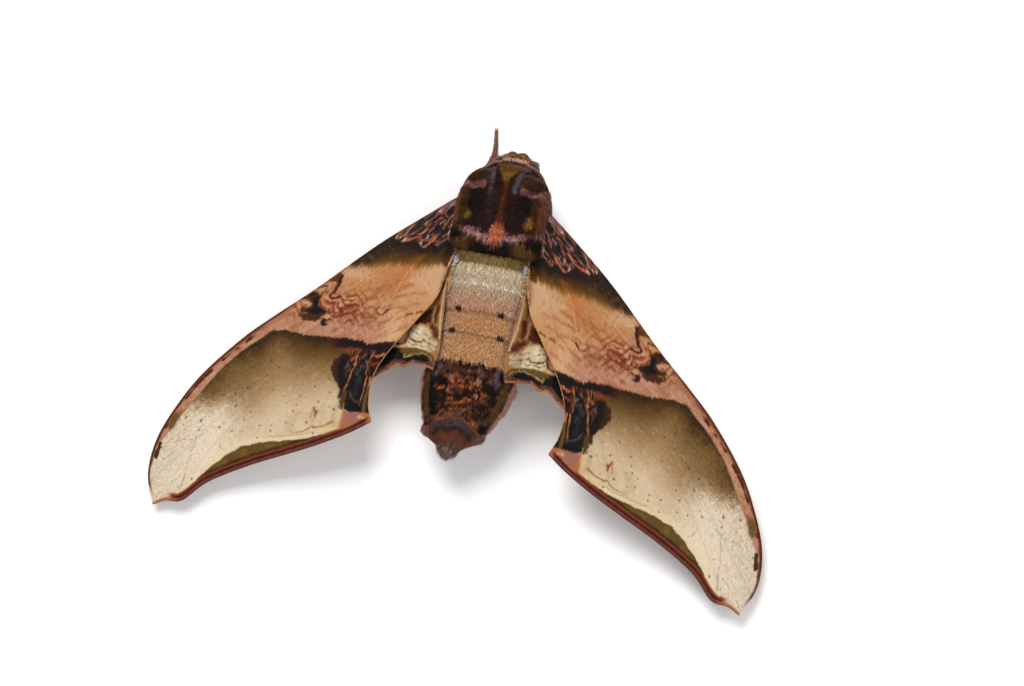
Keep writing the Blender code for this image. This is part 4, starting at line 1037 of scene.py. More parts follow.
def make_wing(name, side_name, costa, trail, veins, over, paint, under_paint, rows, columns, material,
        thick=0.22):
    """A wing sheet: a fine upper face and a coarser underside, which come close along the thin edge but
    are not joined.
    """
    sign, droop = WINGS[side_name]
    place = wing_net(costa, trail, rows, columns)
    u, v = place[..., 0], place[..., 1]
    edge = np.minimum.reduce([to_line(u, v, costa), to_line(u, v, trail)])
    relief = vein_relief(u, v, veins, 0.28)
    rim = soft(0.0, 0.9, edge)
    body = 0.03 + (thick / 2 - 0.03) * rim
    middle = wing_height(u, v, droop, over)
    top = middle + body + rim * 0.11 * relief + 0.02 * mottle(u, v, 1.6, 301) * rim
    below = middle - body - rim * 0.08 * relief
    x = sign * (HINGE_X + (u - HINGE_X) * math.cos(droop))
    upper = np.stack((x, v, top), -1)
    step = 4
    lower = np.stack((x, v, below), -1)[::step, ::step]
    upper_faces = net(rows, columns)
    lower_rows, lower_columns = lower.shape[:2]
    lower_faces = net(lower_rows, lower_columns, rows * columns)
    if sign > 0:
        upper_faces = upper_faces[:, ::-1]
    else:
        lower_faces = lower_faces[:, ::-1]
    points = np.concatenate((upper.reshape(-1, 3), lower.reshape(-1, 3)))
    tones = np.concatenate((paint.reshape(-1, 3), under_paint[::step, ::step].reshape(-1, 3)))
    wing = make_piece(name, points, [upper_faces, lower_faces], material, tones)
    return wing


def paint_underside(u, v, outer, veins):
    """Colours of a wing's underside: rusty tan with faint cross lines, dusky at the root."""
    paint = np.empty(u.shape + (3,))
    paint[:] = (178, 118, 74)
    paint = lay(paint, (196, 150, 104), 0.6 * soft(0.0, 0.6, mottle(u, v, 5.0, 401)))
    paint = lay(paint, (122, 78, 44), 0.55 * soft(-0.1, 0.6, mottle(u, v, 2.4, 402)))
    paint = lay(paint, (112, 72, 40), 0.7 * soft(9.0, 5.0, v))
    for turn, at in ((17.5, 0.35), (20.5, 0.5), (26.0, 0.35)):
        wave = v + 0.12 * u - turn - 1.8 + 0.35 * np.abs((u * 0.5) % 2.0 - 1.0)
        paint = lay(paint, (112, 60, 34), at * hump(wave + 0.4 * mottle(u, v, 1.5, 403), 0.0, 0.35))
    rim = to_line(u, v, outer)
    paint = lay(paint, (126, 66, 44), 0.8 * soft(1.3, 0.4, rim + 0.3 * mottle(u, v, 0.9, 404)))
    for line in veins:
        paint = lay(paint, (204, 150, 104), 0.5 * soft(0.3, 0.1, to_line(u, v, line)))
    return paint


class Canvas:
    """Paint over a net of places, with marks whose edges are as uneven as rows of scales."""

    def __init__(self, u, v, colour):
        self.warp_u = u + 0.16 * mottle(u, v, 0.9, 11) + 0.05 * grain(u, v, 0.16, 12)
        self.warp_v = v + 0.16 * mottle(u, v, 0.9, 13) + 0.05 * grain(u, v, 0.16, 14)
        self.dust = grain(u, v, 0.17, 15)
        self.brush = streaks(u, v, 1.35, 0.8, 0.15, 16)
        self.paint = np.empty(u.shape + (3,))
        self.paint[:] = colour

    def wash(self, colour, mask):
        worn = mask + 0.9 * self.dust * mask * (1.0 - mask)
        self.paint = lay(self.paint, colour, np.clip(worn, 0.0, 1.0))

    def stroke(self, colour, width, *line, strength=0.92, soften=0.09):
        """A line of some width through points."""
        near = to_line(self.warp_u, self.warp_v, line) + 0.06 * self.dust + 0.12 * self.brush
        self.wash(colour, strength * soft(width / 2 + soften, width / 2 - soften, near))

    def patch(self, colour, *shape, strength=0.95, soften=0.14):
        """A closed patch through points."""
        near = to_shape(self.warp_u, self.warp_v, shape) + 0.12 * self.dust + 0.3 * self.brush
        self.wash(colour, strength * soft(soften, -soften, near))

    def spot(self, colour, at_u, at_v, radius, strength=0.9):
        away = np.hypot(self.warp_u - at_u, self.warp_v - at_v)
        self.wash(colour, strength * soft(radius + 0.13, radius - 0.13, away))


def paint_hindwing(u, v):
    """Colours of the hindwing's upper side, which shows beside the abdomen."""
    wing = Canvas(u, v, (176, 122, 76))
    hair = streaks(u, v, 1.5, 0.9, 0.15, 312)
    wing.wash((196, 146, 100), 0.6 * soft(0.0, 0.6, mottle(u, v, 2.0, 311)))
    wing.wash((206, 160, 118), 0.8 * soft(10.6, 11.2, u) * soft(13.6, 14.4, v))
    wing.stroke((160, 108, 62), 0.7, (6.5, 5.0), (6.5, 8.0), (6.6, 10.0), strength=0.7, soften=0.3)
    wing.stroke((90, 42, 20), 0.7, (6.4, 10.4), (6.6, 11.4), (6.4, 12.4), strength=0.9, soften=0.3)
    wing.stroke((194, 154, 116), 0.3, (7.15, 10.0), (7.15, 11.8), (6.6, 13.0), strength=0.8, soften=0.15)
    wing.patch((76, 34, 16), (7.3, 10.4), (8.4, 11.1), (9.5, 12.1), (10.3, 13.2), (9.6, 13.4),
        (8.8, 12.9), (8.0, 13.0), (7.3, 12.7), (7.2, 11.5), soften=0.25)
    wing.patch((88, 44, 22), (7.0, 12.6), (7.4, 13.1), (6.7, 13.9), (6.1, 15.0), (5.0, 15.3), (4.7, 14.3),
        (5.6, 13.6), soften=0.25)
    wing.wash((150, 96, 60), 0.5 * soft(0.1, 0.5, hair) * soft(10.0, 11.0, v) * soft(15.5, 14.5, v)
        * soft(8.0, 7.0, u))
    wing.patch((216, 196, 158), (7.4, 13.5), (8.2, 13.1), (9.0, 13.0), (9.8, 13.3), (10.25, 14.0),
        (10.25, 15.0), (10.5, 16.2), (9.9, 16.7), (8.6, 16.6), (7.2, 17.0), (6.2, 17.3), (5.5, 16.9),
        (5.3, 15.6), (6.3, 15.1), (6.8, 14.2), soften=0.2)
    wing.spot((234, 222, 196), 8.9, 14.1, 0.8, 0.7)
    wing.stroke((232, 218, 186), 0.5, (6.6, 16.5), (8.6, 16.1), (9.8, 16.0), strength=0.6, soften=0.2)
    wing.stroke((122, 88, 56), 0.16, (5.4, 16.3), (6.0, 16.1), (6.6, 15.8), (7.3, 15.6), (7.9, 15.2),
        (8.3, 15.6), (9.0, 15.6), (9.7, 15.3), (10.2, 14.9))
    wing.stroke((70, 42, 26), 0.24, (8.3, 15.6), (9.2, 15.5), (9.9, 15.25), strength=0.85)
    wing.stroke((150, 112, 70), 0.16, (5.3, 15.3), (6.2, 14.9), (7.0, 14.9), (7.8, 14.4), (8.6, 14.6),
        (9.4, 14.2), (10.2, 14.1), strength=0.8)
    wing.stroke((172, 132, 84), 0.12, (6.6, 14.3), (7.6, 13.8), (8.4, 13.9), (9.3, 13.6), (10.0, 13.6),
        strength=0.6)
    wing.stroke((140, 104, 66), 0.15, (5.2, 17.0), (6.2, 16.7), (7.0, 16.2), (7.8, 16.3), (8.6, 15.95),
        (9.4, 16.1), (10.2, 15.7), strength=0.8)
    wing.stroke((62, 38, 22), 0.2, (10.25, 13.6), (10.4, 14.8), (10.6, 15.5))
    wing.stroke((44, 26, 16), 0.3, (10.5, 15.3), (10.9, 15.9), (11.5, 16.15), (12.2, 16.2))
    wing.stroke((214, 188, 146), 0.3, (10.7, 16.3), (11.4, 16.6), (12.2, 16.7), strength=0.85)
    for speck in ((9.2, 14.4, 0.08), (9.0, 15.9, 0.1)):
        wing.spot((92, 66, 46), *speck, 0.7)
    hem = level(u, ((4.0, 18.6), (5.3, 18.2), (6.0, 17.4), (7.3, 16.9), (8.7, 16.7), (9.8, 16.8),
        (10.8, 16.9), (13.0, 16.9), (24.0, 18.0)))
    rag = 0.14 * mottle(u, v, 0.7, 311)
    wing.wash((104, 80, 36), 0.96 * soft(-0.3, 0.0, v - hem + rag))
    wing.patch((20, 12, 9), (6.4, 17.9), (7.4, 17.4), (8.2, 17.6), (9.0, 17.6), (9.9, 18.2), (10.4, 18.2),
        (10.6, 17.3), (12.8, 17.2), (14.0, 19.4), (17.0, 22.0), (12.0, 19.0), (9.8, 18.9), (6.2, 18.5))
    wing.patch((20, 12, 9), (11.0, 16.9), (24.0, 16.6), (24.0, 24.0), (16.0, 22.0), (12.6, 18.6),
        soften=0.1)
    wing.stroke((198, 158, 122), 0.16, (5.3, 18.7), (5.9, 17.95), (6.8, 17.4), (7.6, 17.2), (8.2, 17.4),
        (8.8, 17.35), (9.3, 17.6), (9.9, 18.0), (10.25, 18.1), (10.5, 17.5))
    low = level(u, ((4.0, 18.9), (6.0, 18.65), (7.0, 18.35), (9.0, 18.2), (9.8, 18.7), (10.8, 18.4),
        (11.8, 18.5), (13.0, 19.6), (16.0, 21.6)))
    wing.wash((98, 60, 54), 0.95 * soft(-0.1, 0.14, v - low + rag))
    wing.wash((146, 100, 94), 0.6 * soft(-0.1, 0.14, v - low) * soft(0.0, 0.5, hair))
    fringe = to_line(u, v, ((5.3, 19.4), (7.0, 18.9), (8.8, 18.55), (10.0, 19.3), (11.3, 19.15),
        (13.0, 20.3), (16.0, 22.3)))
    wing.wash((190, 122, 70), 0.9 * soft(0.2, 0.08, fringe) * soft(-0.5, -0.1, grain(u, v, 0.5, 314)))
    wing.stroke((216, 190, 146), 0.3, (5.75, 4.0), (5.8, 9.0), (5.65, 11.0), (5.4, 13.0), (5.1, 15.0),
        strength=0.9)
    wing.stroke((150, 110, 90), 0.3, (4.8, 14.0), (4.6, 16.5), (4.9, 18.0), strength=0.7)
    return np.clip(0.88 * wing.paint - 12.0, 4.0, 255.0)


wing_finish = Finish("wing scales", Roughness=0.6)
wing_finish.shader.inputs["Specular IOR Level"].default_value = 0.12
wing_paint = wing_finish.node("Attribute", {"attribute_name": "paint"})
wing_cells = wing_finish.node("TexVoronoi", {}, wing_finish.place((1.0, 1.0, 0.3)), Scale=8.0, out=0)
wing_speckle = wing_finish.node("TexVoronoi", {}, wing_finish.place((1.0, 1.0, 0.3)), Scale=8.0, out=1)
wing_flecks = wing_finish.node("SeparateColor", {}, wing_speckle)
wing_cloud = wing_finish.noise(wing_finish.place(), 1.6, 4.0, 0.6)
wing_tone = wing_finish.mix(0.22 * wing_flecks, wing_paint, (0.35, 0.31, 0.27), "MULTIPLY")
wing_tone = wing_finish.mix(0.25 * wing_cloud.between(0.35, 0.65), wing_tone, (0.78, 0.74, 0.70),
    "MULTIPLY")
wing_material = wing_finish.wear(
    Base_Color=wing_tone,
    Roughness=0.55 + 0.25 * wing_flecks,
    Normal=wing_finish.bump(wing_cells, 0.25, 0.06),
)
hind_veins = [smooth_line(line, 1.0) for line in HINDWING_VEINS]
hind_costa, hind_trail = smooth_line(HINDWING_COSTA, 0.5), smooth_line(HINDWING_TRAIL, 0.4)
HIND_ROWS, HIND_COLUMNS = 221, 121
hind_place = wing_net(hind_costa, hind_trail, HIND_ROWS, HIND_COLUMNS)
hind_paint = paint_hindwing(hind_place[..., 0], hind_place[..., 1])
hind_under = paint_underside(hind_place[..., 0], hind_place[..., 1], hind_trail, hind_veins)
for side_name in WINGS:
    wing = make_wing("hindwing_sheet_" + side_name, side_name, hind_costa, hind_trail, hind_veins, 0.0,
        hind_paint, hind_under, HIND_ROWS, HIND_COLUMNS, wing_material)
    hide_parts("hindwing_" + side_name)

# Forewings
# Long sickle-shaped sheets of membrane over stiff veins, hinged under the shoulder plates and swept
# back over the hindwings. Overlapping scales draw their bands, zigzags and dusky fringe.
FOREWING_COSTA = ((6.2, -5.6), (6.9, -5.9), (12.0, -2.3), (18.0, 2.5), (26.0, 9.9), (31.5, 14.6),
    (36.0, 18.7), (41.0, 24.6), (44.0, 29.6), (46.4, 35.5), (46.7, 41.0), (44.8, 45.3))
FOREWING_OUTER = ((44.8, 45.3), (43.0, 44.4), (40.4, 44.0), (37.0, 40.7), (31.0, 37.3), (22.0, 33.2),
    (16.5, 30.3), (13.4, 28.2))
FOREWING_INNER = ((13.4, 28.2), (14.4, 25.4), (14.5, 21.6), (12.7, 17.4), (9.1, 12.1), (7.0, 8.9),
    (5.8, 4.4), (5.6, 1.4))
FOREWING_VEINS = (
    ((7.6, -4.2), (13, 0.2), (20, 5.9), (29, 13.9), (35, 18.6)),  # subcosta
    ((7.6, -2.9), (13.5, 3.3), (19.8, 9.3)),  # radius
    ((18.5, 7.3), (27, 14.6), (35, 21.2), (39.9, 24.2)),  # radius 1
    ((20.6, 9.9), (30, 18.8), (38, 26.4), (43.3, 29.9)),  # radius 2
    ((20.4, 10.8), (30.5, 21.4), (39, 30.8), (45.3, 36.6)),  # radius 4
    ((31.2, 23), (38.5, 32.6), (45.6, 41.6)),  # radius 5
    ((19.9, 11.5), (29, 23.4), (36.6, 34.4), (41.9, 43.2)),  # media 1
    ((18, 12.6), (26, 24.6), (32.2, 34.6), (35.6, 39)),  # media 2
    ((16.2, 13.9), (22.6, 25.4), (29.6, 35.9)),  # media 3
    ((7.5, -1.7), (11, 3.5), (13.2, 8.2), (15.2, 13.4)),  # cubitus
    ((15.5, 14.4), (20.2, 24.6), (24.2, 33.4)),  # cubitus 1
    ((14.9, 12.2), (16.9, 17), (18.3, 22.5), (19.1, 27.6), (19.7, 31.2)),  # cubitus 2
    ((7.3, -0.4), (9.9, 8.6), (13.5, 16), (15.6, 21.5), (15.4, 26), (14.7, 28.4)),  # anal
    ((19.4, 10.2), (17.8, 11.9), (15.8, 12.9)),  # cell end
)
OLIVE_DARK = (48, 33, 9)
PEACH = (206, 164, 124)
TAN_ORANGE = (186, 130, 84)
LILAC_PINK = (178, 126, 106)
RED_BROWN = (124, 54, 32)
CREAM = (230, 212, 186)
PURPLE_BROWN = (104, 62, 58)


def paint_forewing(u, v, veins, costa, outer):
    """Colours of the forewing's upper side."""
    rag = 0.16 * mottle(u, v, 0.9, 11)
    fuzz = 0.22 * streaks(u, v, 1.35, 0.7, 0.16, 13)
    wing = Canvas(u, v, PEACH)
    lead = to_line(u, v, costa)

    # middle field: peach at the body, tan and orange outwards, rosy towards the border
    wing.wash(TAN_ORANGE, 0.95 * soft(8.5, 14.0, u + 2.0 * mottle(u, v, 4.0, 21)) * soft(14.0, 9.0, v))
    wing.wash((196, 140, 92), 0.6 * soft(7.5, 10.5, v) * soft(12.5, 11.0, u))
    wing.wash(LILAC_PINK, 0.75 * soft(10.5, 14.5, v + 1.2 * mottle(u, v, 3.0, 22)) * soft(12.5, 16.0, u))
    wing.wash((172, 126, 118), 0.45 * soft(0.0, 0.6, mottle(u, v, 2.4, 23)) * soft(15.0, 18.0, u)
        * soft(6.0, 10.0, v))
    wing.wash((206, 166, 136), 0.7 * soft(1.9, 0.6, to_line(u, v, ((19.5, 6.4), (22.2, 6.8)))))
    fine = streaks(u, v, 1.9, 0.8, 0.14, 24)
    wing.wash((166, 100, 56), 0.5 * soft(0.1, 0.7, fine) * soft(7.0, 10.0, u))
    wing.wash((216, 180, 144), 0.35 * soft(0.2, 0.8, -fine))
    wing.wash((150, 96, 60), 0.35 * soft(0.1, 0.5, mottle(u, v, 1.5, 25)) * soft(13.0, 17.0, u)
        * soft(7.5, 9.5, v))

    cloud = streaks(u, v, 0.55, 2.6, 0.5, 26)
    wing.wash((150, 88, 50), 0.4 * soft(0.05, 0.55, cloud) * soft(9.0, 12.0, u) * soft(5.5, 7.5, v))
    wing.wash((212, 168, 122), 0.35 * soft(0.1, 0.6, -cloud) * soft(9.0, 12.0, u))
    thin = streaks(u, v, 0.62, 1.5, 0.14, 27)
    wing.wash((140, 78, 44), 0.26 * soft(0.2, 0.65, thin) * soft(-0.3, 0.3, mottle(u, v, 1.6, 28))
        * soft(10.0, 15.0, u) * soft(7.0, 9.0, v))
    for line in (((8.6, 8.6), (9.8, 8.9), (10.6, 8.7), (11.6, 9.3), (12.6, 9.2), (13.8, 10.0)),
            ((9.2, 10.2), (10.6, 10.5), (11.8, 11.2), (13.0, 11.2)),
            ((13.6, 13.2), (15.0, 13.8), (16.6, 13.8), (17.8, 14.6))):
        wing.stroke((150, 84, 48), 0.26, *line, strength=0.4, soften=0.2)

    # veins show orange near the body and pale further out
    wing.stroke((190, 100, 42), 1.5, (10.2, 2.8), (11.2, 4.2), (12.4, 5.4), (13.2, 6.6), strength=0.5,
        soften=0.9)
    wing.stroke((180, 104, 52), 0.5, (12.2, 6.6), (12.9, 7.6), (13.6, 9.2), strength=0.4, soften=0.4)
    wing.stroke((176, 104, 54), 0.4, (11.2, 7.6), (12.6, 7.9), (13.8, 8.6), (15.0, 9.1), (15.6, 9.9),
        strength=0.6, soften=0.25)
    wing.stroke((226, 190, 150), 0.12, (11.6, 4.4), (12.6, 6.2), (13.6, 9.0), strength=0.5)
    for vein in veins:
        wing.wash((210, 170, 130), 0.3 * soft(0.2, 0.06, to_line(u, v, vein)) * soft(16.5, 14.0, v))

    # watered lines towards the costa
    wave = v + 0.42 * u + 0.55 * np.abs(((u * 0.62 + 0.35 * mottle(u, v, 1.6, 31)) % 2.0) - 1.0) * 2.0
    watered = np.sin(wave * 4.6 + 1.2 * mottle(u, v, 2.0, 32))
    where = soft(14.0, 20.0, u) * soft(9.6, 11.0, v + 0.25 * (22 - u)) * soft(15.4, 13.6, v)
    wing.wash((134, 62, 34), 0.75 * soft(0.1, 0.85, watered) * where)
    wing.wash((124, 56, 30), 0.6 * soft(0.0, 0.5, mottle(u, v, 0.8, 33)) * where)
    for line in (
        ((22.2, 11.7), (22.1, 12.5), (21.4, 12.5), (20.9, 12.0), (20.2, 11.9), (19.6, 11.4),
            (18.8, 11.7)),
        ((21.9, 10.8), (21.4, 11.3), (20.8, 11.1), (20.1, 11.2), (19.4, 10.8)),
        ((22.3, 13.3), (21.4, 13.6), (20.6, 12.9), (19.8, 13.0), (19.0, 12.5)),
    ):
        wing.stroke((112, 48, 26), 0.15, *line, strength=0.8)

    # small marks of the middle field
    wing.stroke((126, 66, 38), 0.32, (8.8, 11.3), (9.6, 11.6), strength=0.7)
    wing.stroke((126, 66, 38), 0.3, (10.3, 11.8), (11.2, 12.1), strength=0.7)
    wing.stroke((84, 42, 24), 0.3, (14.25, 11.6), (14.55, 12.1))
    wing.stroke((104, 50, 28), 0.2, (14.4, 12.0), (15.0, 12.7), (15.7, 12.6), (16.1, 12.0), (15.6, 11.5),
        strength=0.85)
    wing.stroke((220, 170, 130), 0.2, (14.9, 12.0), (15.3, 12.2), (15.7, 12.0), strength=0.7)
    wing.spot((160, 92, 80), 21.5, 14.4, 0.4, 0.6)
    for spot in ((20.3, 14.4, 0.3), (20.35, 15.3, 0.26), (21.9, 15.8, 0.42), (18.3, 14.6, 0.2),
            (17.0, 15.4, 0.22)):
        wing.spot((118, 82, 80), *spot, 0.45)

    # costa: dark marks, zigzags and the big ragged patch
    wing.stroke((196, 138, 82), 0.8, (23.4, 7.6), (24.8, 8.9), (26.2, 10.2), strength=0.8, soften=0.3)
    wing.patch((86, 50, 18), (22.0, 7.5), (22.5, 7.1), (23.2, 6.9), (24.1, 7.7), (24.7, 8.4), (24.8, 8.9),
        (24.0, 8.7), (23.3, 8.6), (22.8, 8.9), (22.4, 8.2))
    wing.stroke((60, 26, 14), 0.5, (22.4, 7.8), (22.6, 8.7), (22.9, 9.4), (23.1, 10.1), strength=0.95)
    wing.stroke((84, 34, 20), 0.36, (22.9, 9.8), (23.4, 10.4), (23.8, 11.0), (23.0, 11.1), (22.2, 10.8))
    wing.stroke((66, 38, 16), 0.34, (24.5, 9.4), (25.2, 9.7), (25.8, 9.8))
    wing.stroke((84, 46, 32), 0.14, (24.2, 9.5), (24.7, 10.4), (25.3, 10.8))
    wing.stroke((200, 132, 92), 0.16, (23.9, 9.9), (24.1, 10.9), (23.6, 11.4), (22.5, 11.5), (22.5, 12.8),
        strength=0.85)
    wing.stroke((196, 124, 82), 0.16, (24.8, 10.7), (24.8, 11.5), (24.4, 12.1), (23.3, 12.3),
        (23.1, 13.2), strength=0.8)
    wing.stroke((104, 40, 22), 0.15, (24.2, 10.3), (24.5, 11.1), (24.2, 11.7), (23.3, 11.8), (22.7, 11.8),
        (22.8, 12.3), (22.6, 13.1), (22.0, 13.2), (21.2, 12.7), (20.5, 12.3))
    wing.stroke((98, 38, 22), 0.16, (25.1, 10.9), (25.2, 11.7), (24.7, 12.3), (24.0, 12.8), (23.5, 12.8),
        (23.4, 13.3), (22.9, 13.7), (22.3, 13.9))
    wing.patch((72, 42, 14), (25.3, 11.0), (25.9, 10.6), (26.8, 10.3), (27.3, 10.3), (28.2, 11.4),
        (28.0, 11.8), (27.3, 11.7), (26.8, 12.1), (26.1, 12.1), (26.2, 12.5), (26.8, 13.0), (27.3, 13.2),
        (27.9, 13.2), (27.8, 13.7), (28.2, 14.3), (27.6, 14.6), (27.2, 15.1), (26.5, 14.9), (25.6, 15.0),
        (24.9, 14.6), (24.2, 13.9), (23.4, 13.1), (24.3, 12.9), (25.1, 12.6), (25.3, 11.8), strength=0.97)
    wing.patch((20, 12, 8), (25.5, 11.2), (26.1, 11.6), (26.1, 12.2), (26.0, 12.9), (26.9, 13.3),
        (26.2, 13.8), (25.0, 13.9), (24.3, 13.4), (24.4, 13.1), (25.3, 12.7), soften=0.3, strength=0.9)
    wing.stroke((26, 16, 10), 0.6, (26.5, 10.9), (27.4, 11.3), (28.0, 11.6), strength=0.85, soften=0.25)
    wing.stroke((206, 150, 116), 0.2, (26.9, 13.9), (27.6, 13.8), strength=0.6)
    wing.spot((220, 210, 220), 27.3, 11.25, 0.1, 0.7)
    wing.spot((196, 180, 190), 27.6, 14.1, 0.1, 0.7)
    wing.spot((34, 16, 12), 23.8, 14.85, 0.55)
    wing.stroke((60, 30, 24), 0.2, (22.9, 14.2), (23.5, 14.4), (24.0, 14.3))
    wing.spot((190, 156, 160), 23.45, 14.75, 0.16)

    # outer field: dark olive under the border, cream towards the margin and the tip
    border = ((12.0, 16.2), (13.4, 16.5), (15.2, 16.9), (16.4, 17.2), (20.0, 16.9), (22.0, 16.9),
        (26.0, 17.2), (30.0, 16.9), (31.8, 17.3), (33.2, 18.6), (35.2, 20.3), (37.4, 22.6), (39.2, 25.0),
        (41.0, 28.0), (42.8, 31.0))
    within = to_shape(u, v, border + ((46.0, 37.0), (47.0, 46.0), (10.0, 46.0), (10.0, 16.2)))
    depth = -within
    outside = soft(0.22, -0.1, within + 0.7 * rag + fuzz * soft(34.0, 30.0, u))
    drop = depth + 1.4 * soft(32.0, 37.0, u) + 0.9 * mottle(u, v, 5.0, 51) - 1.2 * soft(26.0, 36.0,
        u) * soft(32.0, 27.0, v)
    base = wing.paint
    wing.paint = ramp(drop, (0.0, 0.9, 2.2, 4.0, 6.2, 8.4, 11.0), (
        (48, 30, 6), (72, 48, 14), (98, 70, 30), (128, 98, 60), (160, 130, 92), (188, 159, 122),
            (208, 183, 148)))
    shade = soft(5.6, 1.6, to_line(u, v, ((31.0, 22.5), (36.5, 26.5), (40.5, 29.0))) + 1.5
        * mottle(u, v, 3.0, 52))
    wing.wash((164, 132, 92), 0.35 * shade)
    wing.wash((238, 224, 202), 0.85 * soft(27.0, 32.0, v - 0.1 * (u - 40) + mottle(u, v, 3.0, 53))
        * soft(30.0, 38.0, u))
    wing.wash(CREAM, 0.25 * soft(4.0, 1.0,
        to_line(u, v, ((20.5, 26.0), (24.0, 30.0), (32.0, 33.0), (40.0, 40.0)))))
    wing.wash((184, 152, 114), 0.4 * soft(0.0, 0.5, mottle(u, v, 3.2, 55)) * soft(6.0, 10.0, depth))
    scales = streaks(u, v, 0.95, 0.5, 0.12, 54)
    wing.wash((132, 98, 60), 0.32 * soft(0.1, 0.7, scales) * soft(9.0, 4.0, depth))
    wing.wash((226, 204, 176), 0.3 * soft(0.1, 0.7, -scales) * soft(2.0, 6.0, depth))
    for vein in veins:
        wing.wash((146, 118, 80), 0.12 * soft(0.16, 0.04, to_line(u, v, vein)) * soft(18.0, 21.0, v))
    wing.stroke((150, 135, 110), 0.14, (40.2, 34.5), (40.7, 38.5), (41.0, 43.3), strength=0.6)
    wing.stroke((120, 108, 90), 0.1, (35.8, 33.6), (36.1, 35.4), strength=0.6)
    wing.paint = base + (wing.paint - base) * outside[..., None]

    # ragged red-black border of the middle field
    edge = to_line(u, v, ((12.4, 17.2), (13.6, 17.3), (15.2, 17.6), (16.4, 17.6), (18.0, 17.4),
        (20.2, 17.4), (21.2, 17.5)))
    wing.wash((74, 26, 12), 0.9 * soft(0.95, 0.4, edge + 1.5 * rag + 1.2 * fuzz))
    wing.wash((22, 12, 8), 0.95 * soft(0.75, 0.3, edge + 1.5 * rag + 1.2 * fuzz) * soft(22.0, 19.5, u))
    wing.stroke((132, 58, 32), 0.5, (17.2, 18.2), (18.6, 18.4), (20.1, 18.5), strength=0.7, soften=0.25)
    wing.stroke((176, 100, 70), 0.14, (18.2, 18.4), (19.2, 18.5), strength=0.5)

    # hind corner: olive-black blob, then a charcoal panel between two orange veins, with a painted
    # blue-grey sheen on it
    wing.patch((56, 34, 14), (17.8, 18.9), (19.2, 18.9), (20.0, 19.1), (20.5, 19.7), (21.0, 20.5),
        (21.25, 21.4), (20.95, 22.3), (20.3, 23.1), (19.6, 23.8), (19.1, 24.5), (19.2, 25.4),
        (18.9, 25.9), (18.7, 26.9), (18.2, 27.4), (17.6, 24.0), soften=0.1)
    wing.stroke((18, 11, 8), 1.1, (19.3, 19.7), (19.6, 21.2), (19.2, 22.6), (18.9, 23.6), strength=0.9,
        soften=0.35)
    wing.patch((13, 11, 11), (13.0, 17.6), (15.2, 17.9), (18.2, 18.4), (18.5, 20.0), (18.6, 22.4),
        (18.3, 24.4), (18.1, 27.2), (15.1, 27.3), (14.0, 27.1), (13.7, 21.0), soften=0.08)
    wing.patch((96, 66, 20), (18.0, 24.4), (18.5, 24.2), (18.9, 25.6), (18.6, 26.9), (18.2, 27.3),
        (17.9, 26.2), strength=0.85)
    rust = streaks(u, v, 1.45, 0.9, 0.2, 62)
    panel = soft(17.6, 18.2, v) * soft(22.5, 20.0, v + 1.5 * mottle(u, v, 1.5, 63)) * soft(13.0, 13.8,
        u) * soft(19.6, 18.6, u)
    wing.wash((146, 70, 36), 0.75 * panel * soft(0.05, 0.4, rust))
    wing.wash((188, 118, 72), 0.6 * panel * soft(0.4, 0.65, rust))
    # painted sheen: blue-grey patches on the charcoal panel
    painted_sheen = soft(-0.4, 0.35, mottle(u, v, 0.6, 61))
    wing.wash((66, 66, 68), 0.8 * painted_sheen
        * soft(0.75, 0.35, to_line(wing.warp_u, wing.warp_v, ((16.4, 20.6), (16.8, 21.4), (16.4, 22.9)))))
    wing.wash((52, 52, 54), 0.6 * painted_sheen
        * soft(0.6, 0.2, to_line(wing.warp_u, wing.warp_v, ((16.4, 23.4), (16.7, 24.6)))))
    wing.stroke((98, 84, 86), 0.3, (15.8, 25.7), (16.5, 25.7), (17.1, 25.2), (17.6, 24.3), strength=0.75,
        soften=0.2)
    # painted sheen: a blue-grey spot at the top of the panel
    wing.spot((84, 96, 108), 15.9, 19.7, 0.28, 0.75)
    wing.spot((88, 84, 90), 18.5, 20.6, 0.3, 0.7)
    wing.stroke((146, 118, 104), 0.14, (18.2, 21.0), (18.6, 21.6), (18.75, 22.5), strength=0.8)
    wing.stroke((112, 80, 28), 0.5, (14.75, 23.2), (14.9, 25.0), (14.75, 27.1), soften=0.15)
    for line, width in ((((15.1, 18.0), (15.3, 19.0), (15.6, 19.7), (15.6, 21.2), (15.3, 22.2),
            (15.4, 23.6), (15.45, 25.0), (15.6, 26.2)), 0.3), (((14.75, 22.0), (14.75, 23.1)), 0.5),
            (((17.3, 18.3), (17.6, 19.1), (17.45, 20.0), (17.55, 20.8), (17.9, 21.6), (17.95, 22.5),
            (18.2, 23.2), (18.5, 24.5)), 0.28), (((17.7, 19.2), (18.2, 19.8)), 0.24)):
        wing.stroke((158, 84, 44), 0.75 * width, *line, strength=0.85, soften=0.13)
        wing.stroke((206, 142, 92), 0.32 * width, *line, strength=0.7)
    wing.spot((196, 132, 96), 17.65, 20.3, 0.24, 0.7)
    wing.spot((186, 122, 88), 17.5, 19.2, 0.22, 0.7)
    wing.stroke((196, 116, 84), 0.4, (13.4, 18.3), (14.3, 18.7), (14.9, 18.7), strength=0.85)
    wing.stroke((146, 62, 28), 0.4, (14.0, 19.6), (14.8, 20.0), strength=0.9)
    wing.stroke((96, 44, 22), 0.3, (14.6, 18.2), (15.2, 20.4), (15.1, 21.6), strength=0.7)
    corner = to_shape(wing.warp_u, wing.warp_v,
        ((13.0, 27.2), (18.0, 27.25), (18.4, 28.4), (18.6, 30.4), (13.0, 32.0)))
    wing.wash((172, 106, 74), 0.97 * soft(0.15, -0.15, corner))
    wing.patch((142, 110, 116), (15.4, 27.3), (17.5, 27.3), (17.6, 28.3), (17.1, 29.0), (16.2, 28.8),
        (15.5, 28.0), strength=0.55, soften=0.35)
    wing.stroke((222, 186, 144), 0.4, (14.5, 28.2), (15.0, 27.7), (15.4, 27.8), strength=0.7, soften=0.2)
